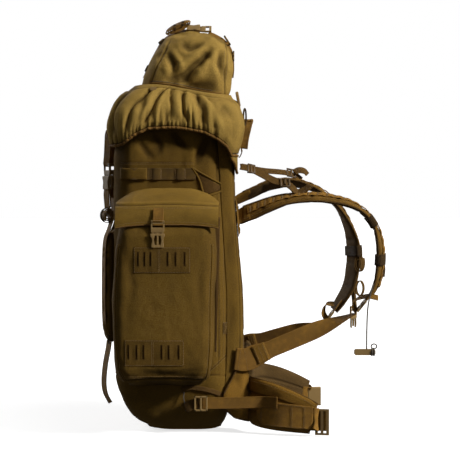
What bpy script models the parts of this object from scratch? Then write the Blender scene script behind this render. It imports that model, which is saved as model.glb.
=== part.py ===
"""Hunting backpack with a gathered lid, two side pockets, a harness and a hip belt.

Metres. +X points from the pack towards the wearer, +Y to the wearer's left, +Z up.
The origin is the middle of the flat base. Names end in _R for the wearer's right side
(-Y) and _L for the left side (+Y).
"""

import math

import bmesh
import bpy
from mathutils import Vector

# ---------------------------------------------------------------- driving dimensions
GAP = 0.0003
WALL = 0.004
SIDE_Y = 0.168
BAG_RADIUS = 0.050

# bag outline by height: (z, front x, back x, half width, corner radius)
BAG = [
    (0.0043, -0.060, 0.086, 0.100, 0.045),
    (0.0100, -0.078, 0.094, 0.118, 0.045),
    (0.0220, -0.096, 0.100, 0.136, 0.048),
    (0.0450, -0.116, 0.106, 0.152, 0.050),
    (0.0750, -0.130, 0.110, 0.162, 0.050),
    (0.1100, -0.139, 0.112, 0.1668, 0.050),
    (0.1500, -0.1435, 0.1145, SIDE_Y, 0.050),
    (0.2000, -0.144, 0.116, SIDE_Y, 0.050),
    (0.3000, -0.144, 0.1155, SIDE_Y, 0.050),
    (0.4000, -0.144, 0.110, SIDE_Y, 0.050),
    (0.5000, -0.144, 0.1035, SIDE_Y, 0.050),
    (0.6000, -0.1425, 0.099, SIDE_Y, 0.052),
    (0.6600, -0.134, 0.094, 0.160, 0.055),
    (0.6900, -0.124, 0.088, 0.150, 0.055),
]

# lid hood outline by height, same columns
HOOD = [
    (0.5600, -0.1505, 0.1265, 0.186, 0.055),
    (0.6640, -0.1505, 0.1265, 0.186, 0.055),
    (0.7000, -0.147, 0.1240, 0.181, 0.055),
    (0.7220, -0.140, 0.1205, 0.172, 0.055),
    (0.7400, -0.127, 0.1160, 0.161, 0.055),
    (0.7520, -0.108, 0.1120, 0.153, 0.055),
    (0.7570, -0.095, 0.1090, 0.147, 0.055),
]
HEM_CORD = 0.006
HEM_DROP = 0.0047
HOOD_ROOF_IN = (0.7525, -0.098, 0.1050, 0.145, 0.050)
# height of the hood's hem along its side, by x
HEM = [
    (-0.1505, 0.628), (-0.135, 0.629), (-0.1225, 0.632), (-0.095, 0.652), (-0.065, 0.6655),
    (-0.030, 0.6675), (0.003, 0.667), (0.0565, 0.657), (0.080, 0.643), (0.098, 0.627),
    (0.1125, 0.607), (0.130, 0.607),
]
# zipped pocket on top of the lid, same columns as the bag
TOP_POCKET = [
    (0.7573, -0.084, 0.104, 0.138, 0.050),
    (0.7750, -0.079, 0.110, 0.137, 0.050),
    (0.8050, -0.066, 0.116, 0.131, 0.050),
    (0.8350, -0.050, 0.115, 0.118, 0.048),
    (0.8550, -0.038, 0.104, 0.100, 0.045),
    (0.8680, -0.022, 0.085, 0.078, 0.040),
    (0.8750, -0.002, 0.062, 0.050, 0.030),
]

# rear face of the padded back panel, by height
PANEL_REAR = [
    (0.075, 0.137), (0.110, 0.139), (0.150, 0.141), (0.200, 0.1415),
    (0.300, 0.1395), (0.400, 0.1305), (0.500, 0.1220), (0.600, 0.1200),
]
PANEL_HALF = 0.122
PANEL_LOW = 0.070
PANEL_HIGH = 0.598
SHEET = 0.0016
STAY = (0.025, 0.003)
STAY_Y = 0.062

LID_AXIS = (0.1285, 0.605)
REAR_FLAP_LOW = 0.565

# side pocket outline by height: (z, front x, rear x, outer y, outer corner radius)
POCKET = [
    (0.1150, -0.098, 0.046, 0.2320, 0.030),
    (0.1200, -0.113, 0.058, 0.2520, 0.030),
    (0.1320, -0.124, 0.066, 0.2690, 0.028),
    (0.1500, -0.131, 0.071, 0.2783, 0.024),
    (0.2000, -0.1365, 0.074, 0.2783, 0.024),
    (0.3000, -0.139, 0.077, 0.2783, 0.028),
    (0.4000, -0.134, 0.081, 0.2783, 0.030),
    (0.4400, -0.1255, 0.079, 0.2783, 0.030),
    (0.4600, -0.1235, 0.078, 0.2685, 0.030),
    (0.4750, -0.122, 0.077, 0.2620, 0.030),
]
POCKET_BACK = SIDE_Y + GAP
FACE_Y = 0.2783

# side pocket flap
FLAP_AXIS = (0.1715, 0.531)
FLAP_PROFILE = [
    (0.1715, 0.531), (0.195, 0.531), (0.235, 0.518), (0.262, 0.500), (0.275, 0.480), (0.2785, 0.458),
]
FLAP_OUT = [
    (-0.1315, 0.026), (-0.1300, 0.012), (-0.1235, 0.003), (-0.1080, 0.0),
    (0.0620, 0.0), (0.0775, 0.003), (0.0840, 0.012), (0.0855, 0.026),
]
FLAP_IN = [
    (-0.1275, 0.026), (-0.1262, 0.012), (-0.1215, 0.004), (-0.1070, 0.0),
    (0.0610, 0.0), (0.0755, 0.004), (0.0802, 0.012), (0.0815, 0.026),
]

# laminated panels with slots on the pocket face: (x low, x high, z low, z high, slot centres)
UPPER_SLOTS = (-0.0960, 0.0280, 0.357, 0.410, (-0.084, -0.068, -0.052, -0.018, -0.002, 0.014))
LOWER_SLOTS = (-0.1100, 0.0200, 0.160, 0.206, (-0.098, -0.078, -0.058, -0.038, -0.016, 0.006))
SLOT = (0.006, 0.028)
LAMINATE = 0.0015

WEB = 0.0018
WEB_25 = 0.025
WEB_38 = 0.038

BUCKLE = {"w": 0.030, "len": 0.030, "t": 0.0096, "plate": 0.0032}
BUCKLE_TRAVEL = 0.020
POCKET_BUCKLE = (-0.0415, 0.2836, 0.440)
LID_BUCKLE = (-0.1590, 0.100, 0.559)
LASH_BUCKLE = (0.0440, -0.030, 0.8840)

# line through the harness anchors: upper and lower point for the right side
GATE_TOP = (0.1445, -0.060, 0.580)
GATE_LOW = (0.1445, -0.150, 0.160)

# shoulder strap centre lines: (x, y, z, side vector y, side vector z, width, thickness)
STRAP_R = [
    (0.1395, -0.0830, 0.474, 0.21, 0.98, 0.054, 0.010),
    (0.1650, -0.0900, 0.483, 0.35, 0.94, 0.060, 0.012),
    (0.2000, -0.0990, 0.497, 0.50, 0.87, 0.062, 0.013),
    (0.2400, -0.1080, 0.508, 0.70, 0.71, 0.062, 0.013),
    (0.2850, -0.1150, 0.512, 0.85, 0.53, 0.062, 0.013),
    (0.3300, -0.1200, 0.508, 0.95, 0.30, 0.061, 0.013),
    (0.3720, -0.1220, 0.497, 1.00, 0.12, 0.060, 0.013),
    (0.4050, -0.1220, 0.476, 1.00, 0.00, 0.059, 0.013),
    (0.4270, -0.1210, 0.446, 1.00, 0.00, 0.057, 0.013),
    (0.4370, -0.1200, 0.408, 1.00, 0.00, 0.055, 0.013),
    (0.4380, -0.1190, 0.368, 1.00, 0.00, 0.053, 0.013),
    (0.4320, -0.1180, 0.330, 1.00, 0.00, 0.050, 0.012),
    (0.4220, -0.1170, 0.305, 1.00, 0.00, 0.044, 0.009),
    (0.4080, -0.1170, 0.288, 1.00, 0.00, 0.038, 0.003),
]
STRAP_L = [
    (0.1395, 0.0770, 0.510, -0.21, 0.98, 0.044, 0.010),
    (0.1650, 0.0840, 0.520, -0.40, 0.92, 0.052, 0.012),
    (0.2020, 0.0900, 0.536, -0.65, 0.76, 0.058, 0.013),
    (0.2500, 0.0960, 0.541, -0.90, 0.43, 0.060, 0.013),
    (0.2940, 0.0990, 0.531, -1.00, 0.15, 0.060, 0.013),
    (0.3290, 0.1000, 0.513, -1.00, 0.00, 0.060, 0.013),
    (0.3590, 0.1000, 0.485, -1.00, 0.00, 0.059, 0.013),
    (0.3810, 0.1000, 0.444, -1.00, 0.00, 0.058, 0.013),
    (0.3940, 0.1000, 0.397, -1.00, 0.00, 0.056, 0.013),
    (0.3940, 0.1000, 0.351, -1.00, 0.00, 0.054, 0.013),
    (0.3850, 0.1000, 0.305, -1.00, 0.00, 0.052, 0.012),
    (0.3650, 0.1000, 0.268, -1.00, 0.00, 0.046, 0.009),
    (0.3500, 0.1000, 0.247, -1.00, 0.00, 0.038, 0.003),
]

# hip belt wing centre line: (x, distance from the middle, z low, z high, thickness)
WING = [
    (0.1540, 0.1010, 0.020, 0.118, 0.016),
    (0.1610, 0.1280, 0.016, 0.119, 0.018),
    (0.1800, 0.1560, 0.013, 0.117, 0.018),
    (0.2150, 0.1770, 0.009, 0.107, 0.018),
    (0.2550, 0.1890, 0.006, 0.090, 0.017),
    (0.2900, 0.1960, 0.004, 0.072, 0.014),
]
WING_AXIS = (0.1540, 0.1010)

CORD_D = 0.003
WHISTLE_CORD = [
    (0.4215, -0.1452, 0.325), (0.4150, -0.1455, 0.303), (0.4095, -0.1455, 0.272),
    (0.4075, -0.1455, 0.230), (0.4070, -0.1455, 0.1828),
]

COLOURS = {
    "lid_fabric": (0.195, 0.126, 0.038, 1.0),
    "pack_fabric": (0.110, 0.067, 0.020, 1.0),
    "pocket_fabric": (0.095, 0.056, 0.016, 1.0),
    "binding": (0.240, 0.150, 0.050, 1.0),
    "webbing": (0.093, 0.048, 0.013, 1.0),
    "padding": (0.070, 0.050, 0.028, 1.0),
    "buckle_plastic": (0.060, 0.040, 0.018, 1.0),
    "frame_plastic": (0.030, 0.030, 0.030, 1.0),
    "stay_aluminium": (0.600, 0.600, 0.610, 1.0),
    "cord": (0.020, 0.016, 0.012, 1.0),
}


# ---------------------------------------------------------------- helpers
def clear_scene():
    for obj in list(bpy.data.objects):
        bpy.data.objects.remove(obj, do_unlink=True)


def material(slot):
    found = bpy.data.materials.get(slot)
    if found:
        return found
    made = bpy.data.materials.new(slot)
    made.use_nodes = True
    shader = made.node_tree.nodes["Principled BSDF"]
    shader.inputs["Base Color"].default_value = COLOURS[slot]
    metal = slot == "stay_aluminium"
    shader.inputs["Metallic"].default_value = 0.9 if metal else 0.0
    shader.inputs["Roughness"].default_value = 0.4 if metal else 0.8
    made.diffuse_color = COLOURS[slot]
    return made


def solid(name, verts, faces, slot, origin=(0.0, 0.0, 0.0), smooth=True):
    """A closed object whose vertices are in world metres and whose origin is set apart."""
    at = Vector(origin)
    mesh = bpy.data.meshes.new(name)
    mesh.from_pydata([Vector(v) - at for v in verts], [], faces)
    work = bmesh.new()
    work.from_mesh(mesh)
    bmesh.ops.remove_doubles(work, verts=work.verts, dist=0.000001)
    bmesh.ops.recalc_face_normals(work, faces=work.faces)
    work.to_mesh(mesh)
    work.free()
    for poly in mesh.polygons:
        poly.use_smooth = smooth
    if smooth:
        mesh.set_sharp_from_angle(angle=math.radians(40))
    obj = bpy.data.objects.new(name, mesh)
    obj.location = at
    bpy.context.scene.collection.objects.link(obj)
    obj.data.materials.append(material(slot))
    return obj


def triangulate(obj):
    """Faces that aren't quite flat are split, so that their surface is certain."""
    work = bmesh.new()
    work.from_mesh(obj.data)
    bmesh.ops.triangulate(work, faces=work.faces)
    work.to_mesh(obj.data)
    work.free()


def loft(rings, cap_start=True, cap_end=True):
    """Vertices and faces of a stack of closed rings with the same number of points."""
    count = len(rings[0])
    verts = [p for ring in rings for p in ring]
    faces = []
    for level in range(len(rings) - 1):
        low = level * count
        for i in range(count):
            j = (i + 1) % count
            faces.append((low + i, low + j, low + count + j, low + count + i))
    if cap_start:
        faces.append(tuple(reversed(range(count))))
    if cap_end:
        faces.append(tuple((len(rings) - 1) * count + i for i in range(count)))
    return verts, faces


def lerp_table(table, key):
    """Row of a table at a key, by straight lines between its rows."""
    if key <= table[0][0]:
        return table[0][1:]
    for low, high in zip(table, table[1:]):
        if key <= high[0]:
            t = (key - low[0]) / (high[0] - low[0])
            return tuple(a + (b - a) * t for a, b in zip(low[1:], high[1:]))
    return table[-1][1:]


def plan_ring(front, back, half, radius, arc=4, side=6, end=3):
    """Rounded rectangle in plan as (x, y), anticlockwise from the rear left corner."""
    corners = [
        (back - radius, half - radius, 0.0, side),
        (front + radius, half - radius, 90.0, end),
        (front + radius, -half + radius, 180.0, side),
        (back - radius, -half + radius, 270.0, end),
    ]
    points = []
    for index, (cx, cy, start, cuts) in enumerate(corners):
        for step in range(arc + 1):
            angle = math.radians(start + 90.0 * step / arc)
            points.append((cx + radius * math.cos(angle), cy + radius * math.sin(angle)))
        nx, ny, turn, _ = corners[(index + 1) % 4]
        last = points[-1]
        angle = math.radians(turn)
        first = (nx + radius * math.cos(angle), ny + radius * math.sin(angle))
        for step in range(1, cuts):
            t = step / cuts
            points.append((last[0] + (first[0] - last[0]) * t, last[1] + (first[1] - last[1]) * t))
    return points


def flat_ring(row, inset=0.0, z=None, **cuts):
    height, front, back, half, radius = row
    height = height if z is None else z
    ring = plan_ring(front + inset, back - inset, half - inset, radius - inset, **cuts)
    return [(x, y, height) for x, y in ring]


def offset_line(points, distance):
    """A polyline in a plane moved sideways, to the left of its direction of travel."""
    moved = []
    for i, point in enumerate(points):
        before = points[max(i - 1, 0)]
        after = points[min(i + 1, len(points) - 1)]
        ends = []
        for a, b in ((before, point), (point, after)):
            dx, dy = b[0] - a[0], b[1] - a[1]
            length = math.hypot(dx, dy)
            if length > 0:
                ends.append((-dy / length, dx / length))
        nx = sum(n[0] for n in ends) / len(ends)
        ny = sum(n[1] for n in ends) / len(ends)
        scale = distance / (nx * nx + ny * ny)
        moved.append((point[0] + nx * scale, point[1] + ny * scale))
    return moved


def section_padded(width, thick):
    """Eight-sided section of a padded strap, in (side, normal) coordinates."""
    w, t, c = width / 2, thick / 2, min(thick * 0.45, width * 0.2)
    return [
        (-w, -t + c), (-w + c, -t), (w - c, -t), (w, -t + c),
        (w, t - c), (w - c, t), (-w + c, t), (-w, t - c),
    ]


def section_flat(width, thick):
    w, t = width / 2, thick / 2
    return [(-w, -t), (w, -t), (w, t), (-w, t)]


def sweep(points, sides, sections):
    """Vertices and faces of sections carried along points; sides give the width direction."""
    rings = []
    for i, point in enumerate(points):
        here = Vector(point)
        before = Vector(points[max(i - 1, 0)])
        after = Vector(points[min(i + 1, len(points) - 1)])
        along = Vector((0.0, 0.0, 0.0))
        if (here - before).length > 0:
            along += (here - before).normalized()
        if (after - here).length > 0:
            along += (after - here).normalized()
        along.normalize()
        side = Vector(sides[i])
        side = (side - along * side.dot(along)).normalized()
        normal = along.cross(side).normalized()
        rings.append([tuple(here + side * s + normal * n) for s, n in sections[i]])
    return loft(rings)


def strap(name, points, sides, width, thick, slot, origin=(0.0, 0.0, 0.0)):
    widths = width if isinstance(width, (list, tuple)) else [width] * len(points)
    if isinstance(sides, tuple):
        sides = [sides] * len(points)
    verts, faces = sweep(points, sides, [section_flat(w, thick) for w in widths])
    return solid(name, verts, faces, slot, origin, smooth=False)


def prism(name, outline, origin, u, v, depth, slot, pivot=(0.0, 0.0, 0.0), mid=True):
    """An outline in (u, v) metres given depth along u x v, centred or one-sided."""
    o, u, v = Vector(origin), Vector(u).normalized(), Vector(v).normalized()
    w = u.cross(v)
    low = -depth / 2 if mid else 0.0
    rings = []
    for level in (low, low + depth):
        rings.append([tuple(o + u * a + v * b + w * level) for a, b in outline])
    verts, faces = loft(rings)
    return solid(name, verts, faces, slot, pivot, smooth=False)


def slotted_plate(name, u_cuts, v_cuts, holes, origin, u, v, depth, slot, pivot=(0.0, 0.0, 0.0)):
    """A plate on a grid of cuts, with the cells in holes left open; depth along u x v."""
    o, u, v = Vector(origin), Vector(u).normalized(), Vector(v).normalized()
    w = u.cross(v)
    verts = []
    index = {}
    for k, level in enumerate((0.0, depth)):
        for i, a in enumerate(u_cuts):
            for j, b in enumerate(v_cuts):
                index[i, j, k] = len(verts)
                verts.append(tuple(o + u * a + v * b + w * level))
    filled = {
        (i, j)
        for i in range(len(u_cuts) - 1)
        for j in range(len(v_cuts) - 1)
        if (i, j) not in holes
    }
    faces = []
    for i, j in filled:
        for k in (0, 1):
            faces.append((index[i, j, k], index[i + 1, j, k], index[i + 1, j + 1, k], index[i, j + 1, k]))
        for di, dj, a, b in (
            (-1, 0, (i, j), (i, j + 1)),
            (1, 0, (i + 1, j), (i + 1, j + 1)),
            (0, -1, (i, j), (i + 1, j)),
            (0, 1, (i, j + 1), (i + 1, j + 1)),
        ):
            if (i + di, j + dj) not in filled:
                faces.append((index[a + (0,)], index[b + (0,)], index[b + (1,)], index[a + (1,)]))
    used = sorted({n for face in faces for n in face})
    renumber = {old: new for new, old in enumerate(used)}
    faces = [tuple(renumber[n] for n in face) for face in faces]
    return solid(name, [verts[n] for n in used], faces, slot, pivot, smooth=False)


def socket(name, size, wall, depth, origin, u, v, slot, pivot=(0.0, 0.0, 0.0)):
    """A box of size (u, v, w) whose +v end has a pocket; origin is the middle of that end."""
    o, u, v = Vector(origin), Vector(u).normalized(), Vector(v).normalized()
    w = u.cross(v)
    su, sv, sw = size
    a, t = su / 2, sw / 2
    c = 0.0022

    def ring(hu, hw, along, cut):
        flat = [
            (-hu + cut, -hw), (hu - cut, -hw), (hu, -hw + cut), (hu, hw - cut),
            (hu - cut, hw), (-hu + cut, hw), (-hu, hw - cut), (-hu, -hw + cut),
        ]
        return [tuple(o + u * p + w * q + v * along) for p, q in flat]

    rings = [
        ring(a * 0.86, t * 0.8, -sv, c),
        ring(a, t, -sv + 0.003, c),
        ring(a, t, 0.0, c),
        ring(a - wall, t - wall * 0.9, 0.0, 0.0006),
        ring(a - wall, t - wall * 0.9, -depth, 0.0006),
    ]
    verts, faces = loft(rings)
    return solid(name, verts, faces, slot, pivot, smooth=False)


def male_outline(tab, scale=1.0):
    """Plate of a side-release plug: webbing tab, body, two prongs and a guide."""
    flat = [
        (-0.0120, 0.0005), (-0.0120, -0.0170), (-0.0100, -0.0195), (-0.0078, -0.0195), (-0.0078, 0.0005),
        (-0.0025, 0.0005), (-0.0025, -0.0160), (0.0025, -0.0160), (0.0025, 0.0005),
        (0.0078, 0.0005), (0.0078, -0.0195), (0.0100, -0.0195), (0.0120, -0.0170), (0.0120, 0.0005),
        (0.0142, 0.0005), (0.0142, 0.0135), (0.0124, 0.0165), (0.0124, tab),
        (-0.0124, tab), (-0.0124, 0.0165), (-0.0142, 0.0135), (-0.0142, 0.0005),
    ]
    return [(a * scale, b * scale) for a, b in flat]


def tube(name, points, diameter, slot, origin=(0.0, 0.0, 0.0), sides=8):
    rings = []
    for i, point in enumerate(points):
        here = Vector(point)
        before = Vector(points[max(i - 1, 0)])
        after = Vector(points[min(i + 1, len(points) - 1)])
        along = (after - before).normalized()
        side = along.cross(Vector((0.31, 0.42, 0.85))).normalized()
        normal = along.cross(side).normalized()
        ring = []
        for n in range(sides):
            angle = 2 * math.pi * n / sides
            ring.append(tuple(here + (side * math.cos(angle) + normal * math.sin(angle)) * diameter / 2))
        rings.append(ring)
    verts, faces = loft(rings)
    return solid(name, verts, faces, slot, origin)


def cord(name, points, diameter, slot):
    """A round cord along a line of points, with closed ends."""
    curve = bpy.data.curves.new(name, "CURVE")
    curve.dimensions = "3D"
    curve.bevel_depth = diameter / 2
    curve.bevel_resolution = 2
    curve.use_fill_caps = True
    line = curve.splines.new("POLY")
    line.points.add(len(points) - 1)
    for target, point in zip(line.points, points):
        target.co = (*point, 1.0)
    obj = bpy.data.objects.new(name, curve)
    bpy.context.scene.collection.objects.link(obj)
    curve.materials.append(material(slot))
    return obj


def smooth_line(points, steps):
    """Points on a Catmull-Rom curve through the given ones."""
    rows = [Vector(p) for p in points]
    rows = [rows[0] * 2 - rows[1]] + rows + [rows[-1] * 2 - rows[-2]]
    out = []
    for i in range(1, len(rows) - 2):
        p0, p1, p2, p3 = rows[i - 1 : i + 3]
        for s in range(steps):
            t = s / steps
            out.append(
                0.5
                * (
                    2 * p1
                    + (p2 - p0) * t
                    + (2 * p0 - 5 * p1 + 4 * p2 - p3) * t * t
                    + (3 * p1 - p0 - 3 * p2 + p3) * t * t * t
                )
            )
    out.append(rows[-2])
    return out


def mirrored(point, sign):
    """A point given for the right side (-Y), moved to the side with this sign of y."""
    return (point[0], -point[1] * sign, point[2])


SIDES = (("R", -1.0), ("L", 1.0))


# ---------------------------------------------------------------- bag and back
def build_bag():
    outer = [flat_ring(row) for row in BAG]
    inner = [flat_ring(row, WALL) for row in reversed(BAG[2:])]
    floor = flat_ring((0.0095, -0.072, 0.088, 0.112, 0.041))
    verts, faces = loft(outer + inner + [floor])
    solid("main_bag", verts, faces, "pack_fabric")
    base = [flat_ring((z, -0.058, 0.084, 0.098, 0.045)) for z in (0.0, 0.004)]
    verts, faces = loft(base)
    solid("base_patch", verts, faces, "pack_fabric", smooth=False)


def bag_back(z):
    return lerp_table([(row[0], row[2]) for row in BAG], z)[0]


def panel_rear(z):
    return lerp_table(PANEL_REAR, z)[0]


def knots(low, high):
    inside = [z for z, _ in PANEL_REAR if low + 0.004 < z < high - 0.004]
    return [low] + inside + [high]


def layer(name, half, low, high, front, rear, slot, corner=0.0):
    """A sheet across the back between two x profiles, with its edge pulled in at the ends."""
    rings = []
    for z in knots(low, high):
        a, b = front(z), rear(z)
        pull = corner if z in (low, high) else 0.0
        edge = min(0.004, (b - a) * 0.35)
        w = half - pull
        rings.append(
            [(a, -w, z), (b - edge, -w, z), (b, -w + edge, z), (b, w - edge, z), (b - edge, w, z), (a, w, z)]
        )
    verts, faces = loft(rings)
    return solid(name, verts, faces, slot, smooth=False)


def build_back():
    layer(
        "frame_sheet", 0.112, PANEL_LOW + 0.010, 0.590,
        lambda z: bag_back(z) + GAP, lambda z: bag_back(z) + GAP + SHEET, "frame_plastic", 0.012,
    )
    stay_in = GAP + SHEET + GAP
    for tag, sign in SIDES:
        rings = []
        for z in knots(PANEL_LOW + 0.015, 0.585):
            a = bag_back(z) + stay_in
            y = sign * STAY_Y
            w = STAY[0] / 2
            rings.append([(a, y - w, z), (a + STAY[1], y - w, z), (a + STAY[1], y + w, z), (a, y + w, z)])
        verts, faces = loft(rings)
        solid("stay_" + tag, verts, faces, "stay_aluminium", smooth=False)
    layer(
        "back_panel", PANEL_HALF, PANEL_LOW, PANEL_HIGH,
        lambda z: bag_back(z) + stay_in + STAY[1] + GAP, panel_rear, "padding", 0.010,
    )
    layer(
        "yoke", 0.112, 0.425, 0.505,
        lambda z: panel_rear(z) + GAP, lambda z: panel_rear(z) + GAP + 0.004, "webbing", 0.008,
    )
    rows = [(0.1422, 0.092, 0.034, 0.190), (0.1500, 0.092, 0.034, 0.190), (0.1575, 0.086, 0.040, 0.184),
            (0.1600, 0.076, 0.050, 0.174)]
    rings = []
    for x, w, low, high in rows:
        c = 0.014
        rings.append(
            [(x, -w + c, low), (x, w - c, low), (x, w, low + c), (x, w, high - c),
             (x, w - c, high), (x, -w + c, high), (x, -w, high - c), (x, -w, low + c)]
        )
    verts, faces = loft(rings)
    solid("lumbar_pad", verts, faces, "padding")


# ---------------------------------------------------------------- lid
def hood_point(index, z, inset):
    row = (z,) + tuple(lerp_table(HOOD, z))
    return flat_ring(row, inset, side=10, end=3)[index]


def hem_at(x):
    return lerp_table(HEM, x)[0]


def hood_rings(inset):
    base = flat_ring(HOOD[1], 0.0, side=10, end=3)
    heights = [hem_at(p[0]) for p in base]
    rings = []
    for t in (0.0, 0.45, 1.0):
        rings.append(
            [hood_point(i, low + (0.700 - low) * t, inset) for i, low in enumerate(heights)]
        )
    return rings


def build_lid():
    axis = (LID_AXIS[0], 0.0, LID_AXIS[1])
    outer = hood_rings(0.0) + [flat_ring(row, 0.0, side=10, end=3) for row in HOOD[3:]]
    inner = hood_rings(WALL) + [flat_ring(row, WALL, side=10, end=3) for row in HOOD[3:5]]
    inner.append(flat_ring(HOOD_ROOF_IN, 0.0, side=10, end=3))
    verts, faces = loft(list(reversed(outer)) + inner)
    solid("lid_hood", verts, faces, "lid_fabric", axis)

    cuts = {"side": 5, "end": 3}
    outer = [flat_ring(row, **cuts) for row in TOP_POCKET]
    inner = [flat_ring(row, WALL, **cuts) for row in TOP_POCKET[:5]]
    inner.append(flat_ring(TOP_POCKET[5], WALL + 0.003, z=0.8640, **cuts))
    verts, faces = loft(list(reversed(outer)) + inner)
    solid("lid_pocket", verts, faces, "lid_fabric", axis)

    ring = flat_ring(HOOD[1], WALL / 2, side=10, end=3)
    count = len(ring)
    start = next(i for i in range(count) if ring[i][0] < 0.092 and ring[i][1] > 0)
    edge = []
    for x, y, _ in ring[start:]:
        if y < 0 and x > 0.092:
            break
        edge.append(Vector((x, y, hem_at(x))))
    path = []
    for i, point in enumerate(edge):
        along = (edge[min(i + 1, len(edge) - 1)] - edge[max(i - 1, 0)]).normalized()
        down = Vector((0.0, 0.0, -1.0))
        down = (down - along * down.dot(along)).normalized()
        path.append(tuple(point + down * HEM_DROP))
    tube("hem_binding", path, HEM_CORD, "binding", axis, sides=6)

    # slider of the pocket's zip, on the right side under the pocket
    y = -0.1613
    outline = [(-0.006, -0.004), (0.006, -0.004), (0.007, 0.0), (0.006, 0.004), (-0.006, 0.004), (-0.007, 0.0)]
    zed = 0.7470
    prism("lid_zip_slider", outline, (-0.055, y, zed), (1, 0, 0), (0, 0, 1), 0.0036, "buckle_plastic",
          (-0.055, y, zed))

    # straps over the top and their buckle
    y = LASH_BUCKLE[1]
    front = [(-0.079, 0.775), (-0.066, 0.805), (-0.050, 0.835), (-0.038, 0.855)]
    front = offset_line(front, GAP + 0.0001 + WEB / 2)
    front += [(-0.0240, 0.8705), (0.0125, 0.8838)]
    strap("lash_strap_front", [(x, y, z) for x, z in front], (0, 1, 0), WEB_25, WEB, "webbing", axis)
    rear = [(0.085, 0.868), (0.104, 0.855), (0.115, 0.835), (0.116, 0.805), (0.110, 0.775)]
    rear = offset_line(rear, GAP + 0.0003 + WEB / 2)
    rear = [(0.0665, 0.8789)] + [(rear[0][0], rear[0][1] + 0.0006)] + rear[1:]
    strap("lash_strap_rear", [(x, y, z) for x, z in rear], (0, 1, 0), WEB_25, WEB, "webbing", axis)
    mouth = (LASH_BUCKLE[0], y, LASH_BUCKLE[2])
    socket("lash_buckle_female", (BUCKLE["w"], BUCKLE["len"], BUCKLE["t"]), 0.0024, 0.0225,
           mouth, (0, 1, 0), (1, 0, 0), "buckle_plastic", axis)
    prism("lash_buckle_male", male_outline(0.034), mouth, (0, 1, 0), (1, 0, 0), BUCKLE["plate"],
          "buckle_plastic", mouth)

    # strap down the rear of the lid and the carrying handle
    rear = [(0.1120, 0.7520), (0.1160, 0.7400), (0.1205, 0.7220), (0.1240, 0.7000), (0.1265, 0.6640), (0.1265, 0.612)]
    rear = offset_line(rear, GAP + 0.0001 + WEB / 2)
    strap("lid_rear_strap", [(x, -0.075, z) for x, z in rear], (0, 1, 0), WEB_25, WEB, "webbing", axis)
    half = [(0.1395, -0.0350, 0.6190), (0.1420, -0.0362, 0.6400), (0.1470, -0.0340, 0.6620),
            (0.1505, -0.0250, 0.6760), (0.1515, -0.0100, 0.6815)]
    loop = half + [(x, -y, z) for x, y, z in reversed(half)]
    strap("grab_handle", loop, (1, 0, 0), 0.020, 0.0026, "webbing", (0.1395, 0.0, 0.619))

    # fabric panel that joins the lid to the pack and stays on the pack
    half_path = []
    ring = plan_ring(-0.1505, 0.1265, 0.186, 0.055, arc=4, side=10, end=3)
    count = len(ring)
    low = [(0.075, 0.6000), (0.100, 0.5995), (0.1125, 0.5980), (0.1220, 0.5850), (0.1265, REAR_FLAP_LOW)]
    for i in range(count):
        x, y = ring[i]
        if x > 0.074 and y > 0:
            half_path.append((i, x, y))
    order = [i for i, _, _ in half_path]
    left = sorted(order, reverse=True)
    mirror = {}
    for i in left:
        x, y = ring[i]
        mirror[i] = min(range(count), key=lambda n: abs(ring[n][0] - x) + abs(ring[n][1] + y))
    sequence = left + [mirror[i] for i in reversed(left)]
    back_pairs = plan_ring(-0.1505 + WALL, 0.1265 - WALL, 0.186 - WALL, 0.055 - WALL, arc=4, side=10, end=3)
    rings = []
    for i in sequence:
        xo, yo = ring[i]
        xi, yi = back_pairs[i]
        bottom = lerp_table(low, xo)[0]
        rings.append([(xo, yo, bottom), (xo, yo, 0.603), (xi, yi, 0.603), (xi, yi, bottom)])
    verts, faces = loft(rings)
    panel = solid("lid_rear_panel", verts, faces, "lid_fabric")
    triangulate(panel)


# ---------------------------------------------------------------- side pockets
def pocket_ring(row, sign, inset=0.0, z=None, arc=3):
    height, front, rear, outer, radius = row
    height = height if z is None else z
    front, rear, outer, radius = front + inset, rear - inset, outer - inset, radius - inset
    back = POCKET_BACK + inset
    points = [(rear, back), (front, back)]
    for cx, start in ((front + radius, 180.0), (rear - radius, 90.0)):
        for step in range(arc + 1):
            angle = math.radians(start - 90.0 * step / arc)
            points.append((cx + radius * math.cos(angle), outer - radius + radius * math.sin(angle)))
    return [(x, sign * y, height) for x, y in points]


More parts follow.
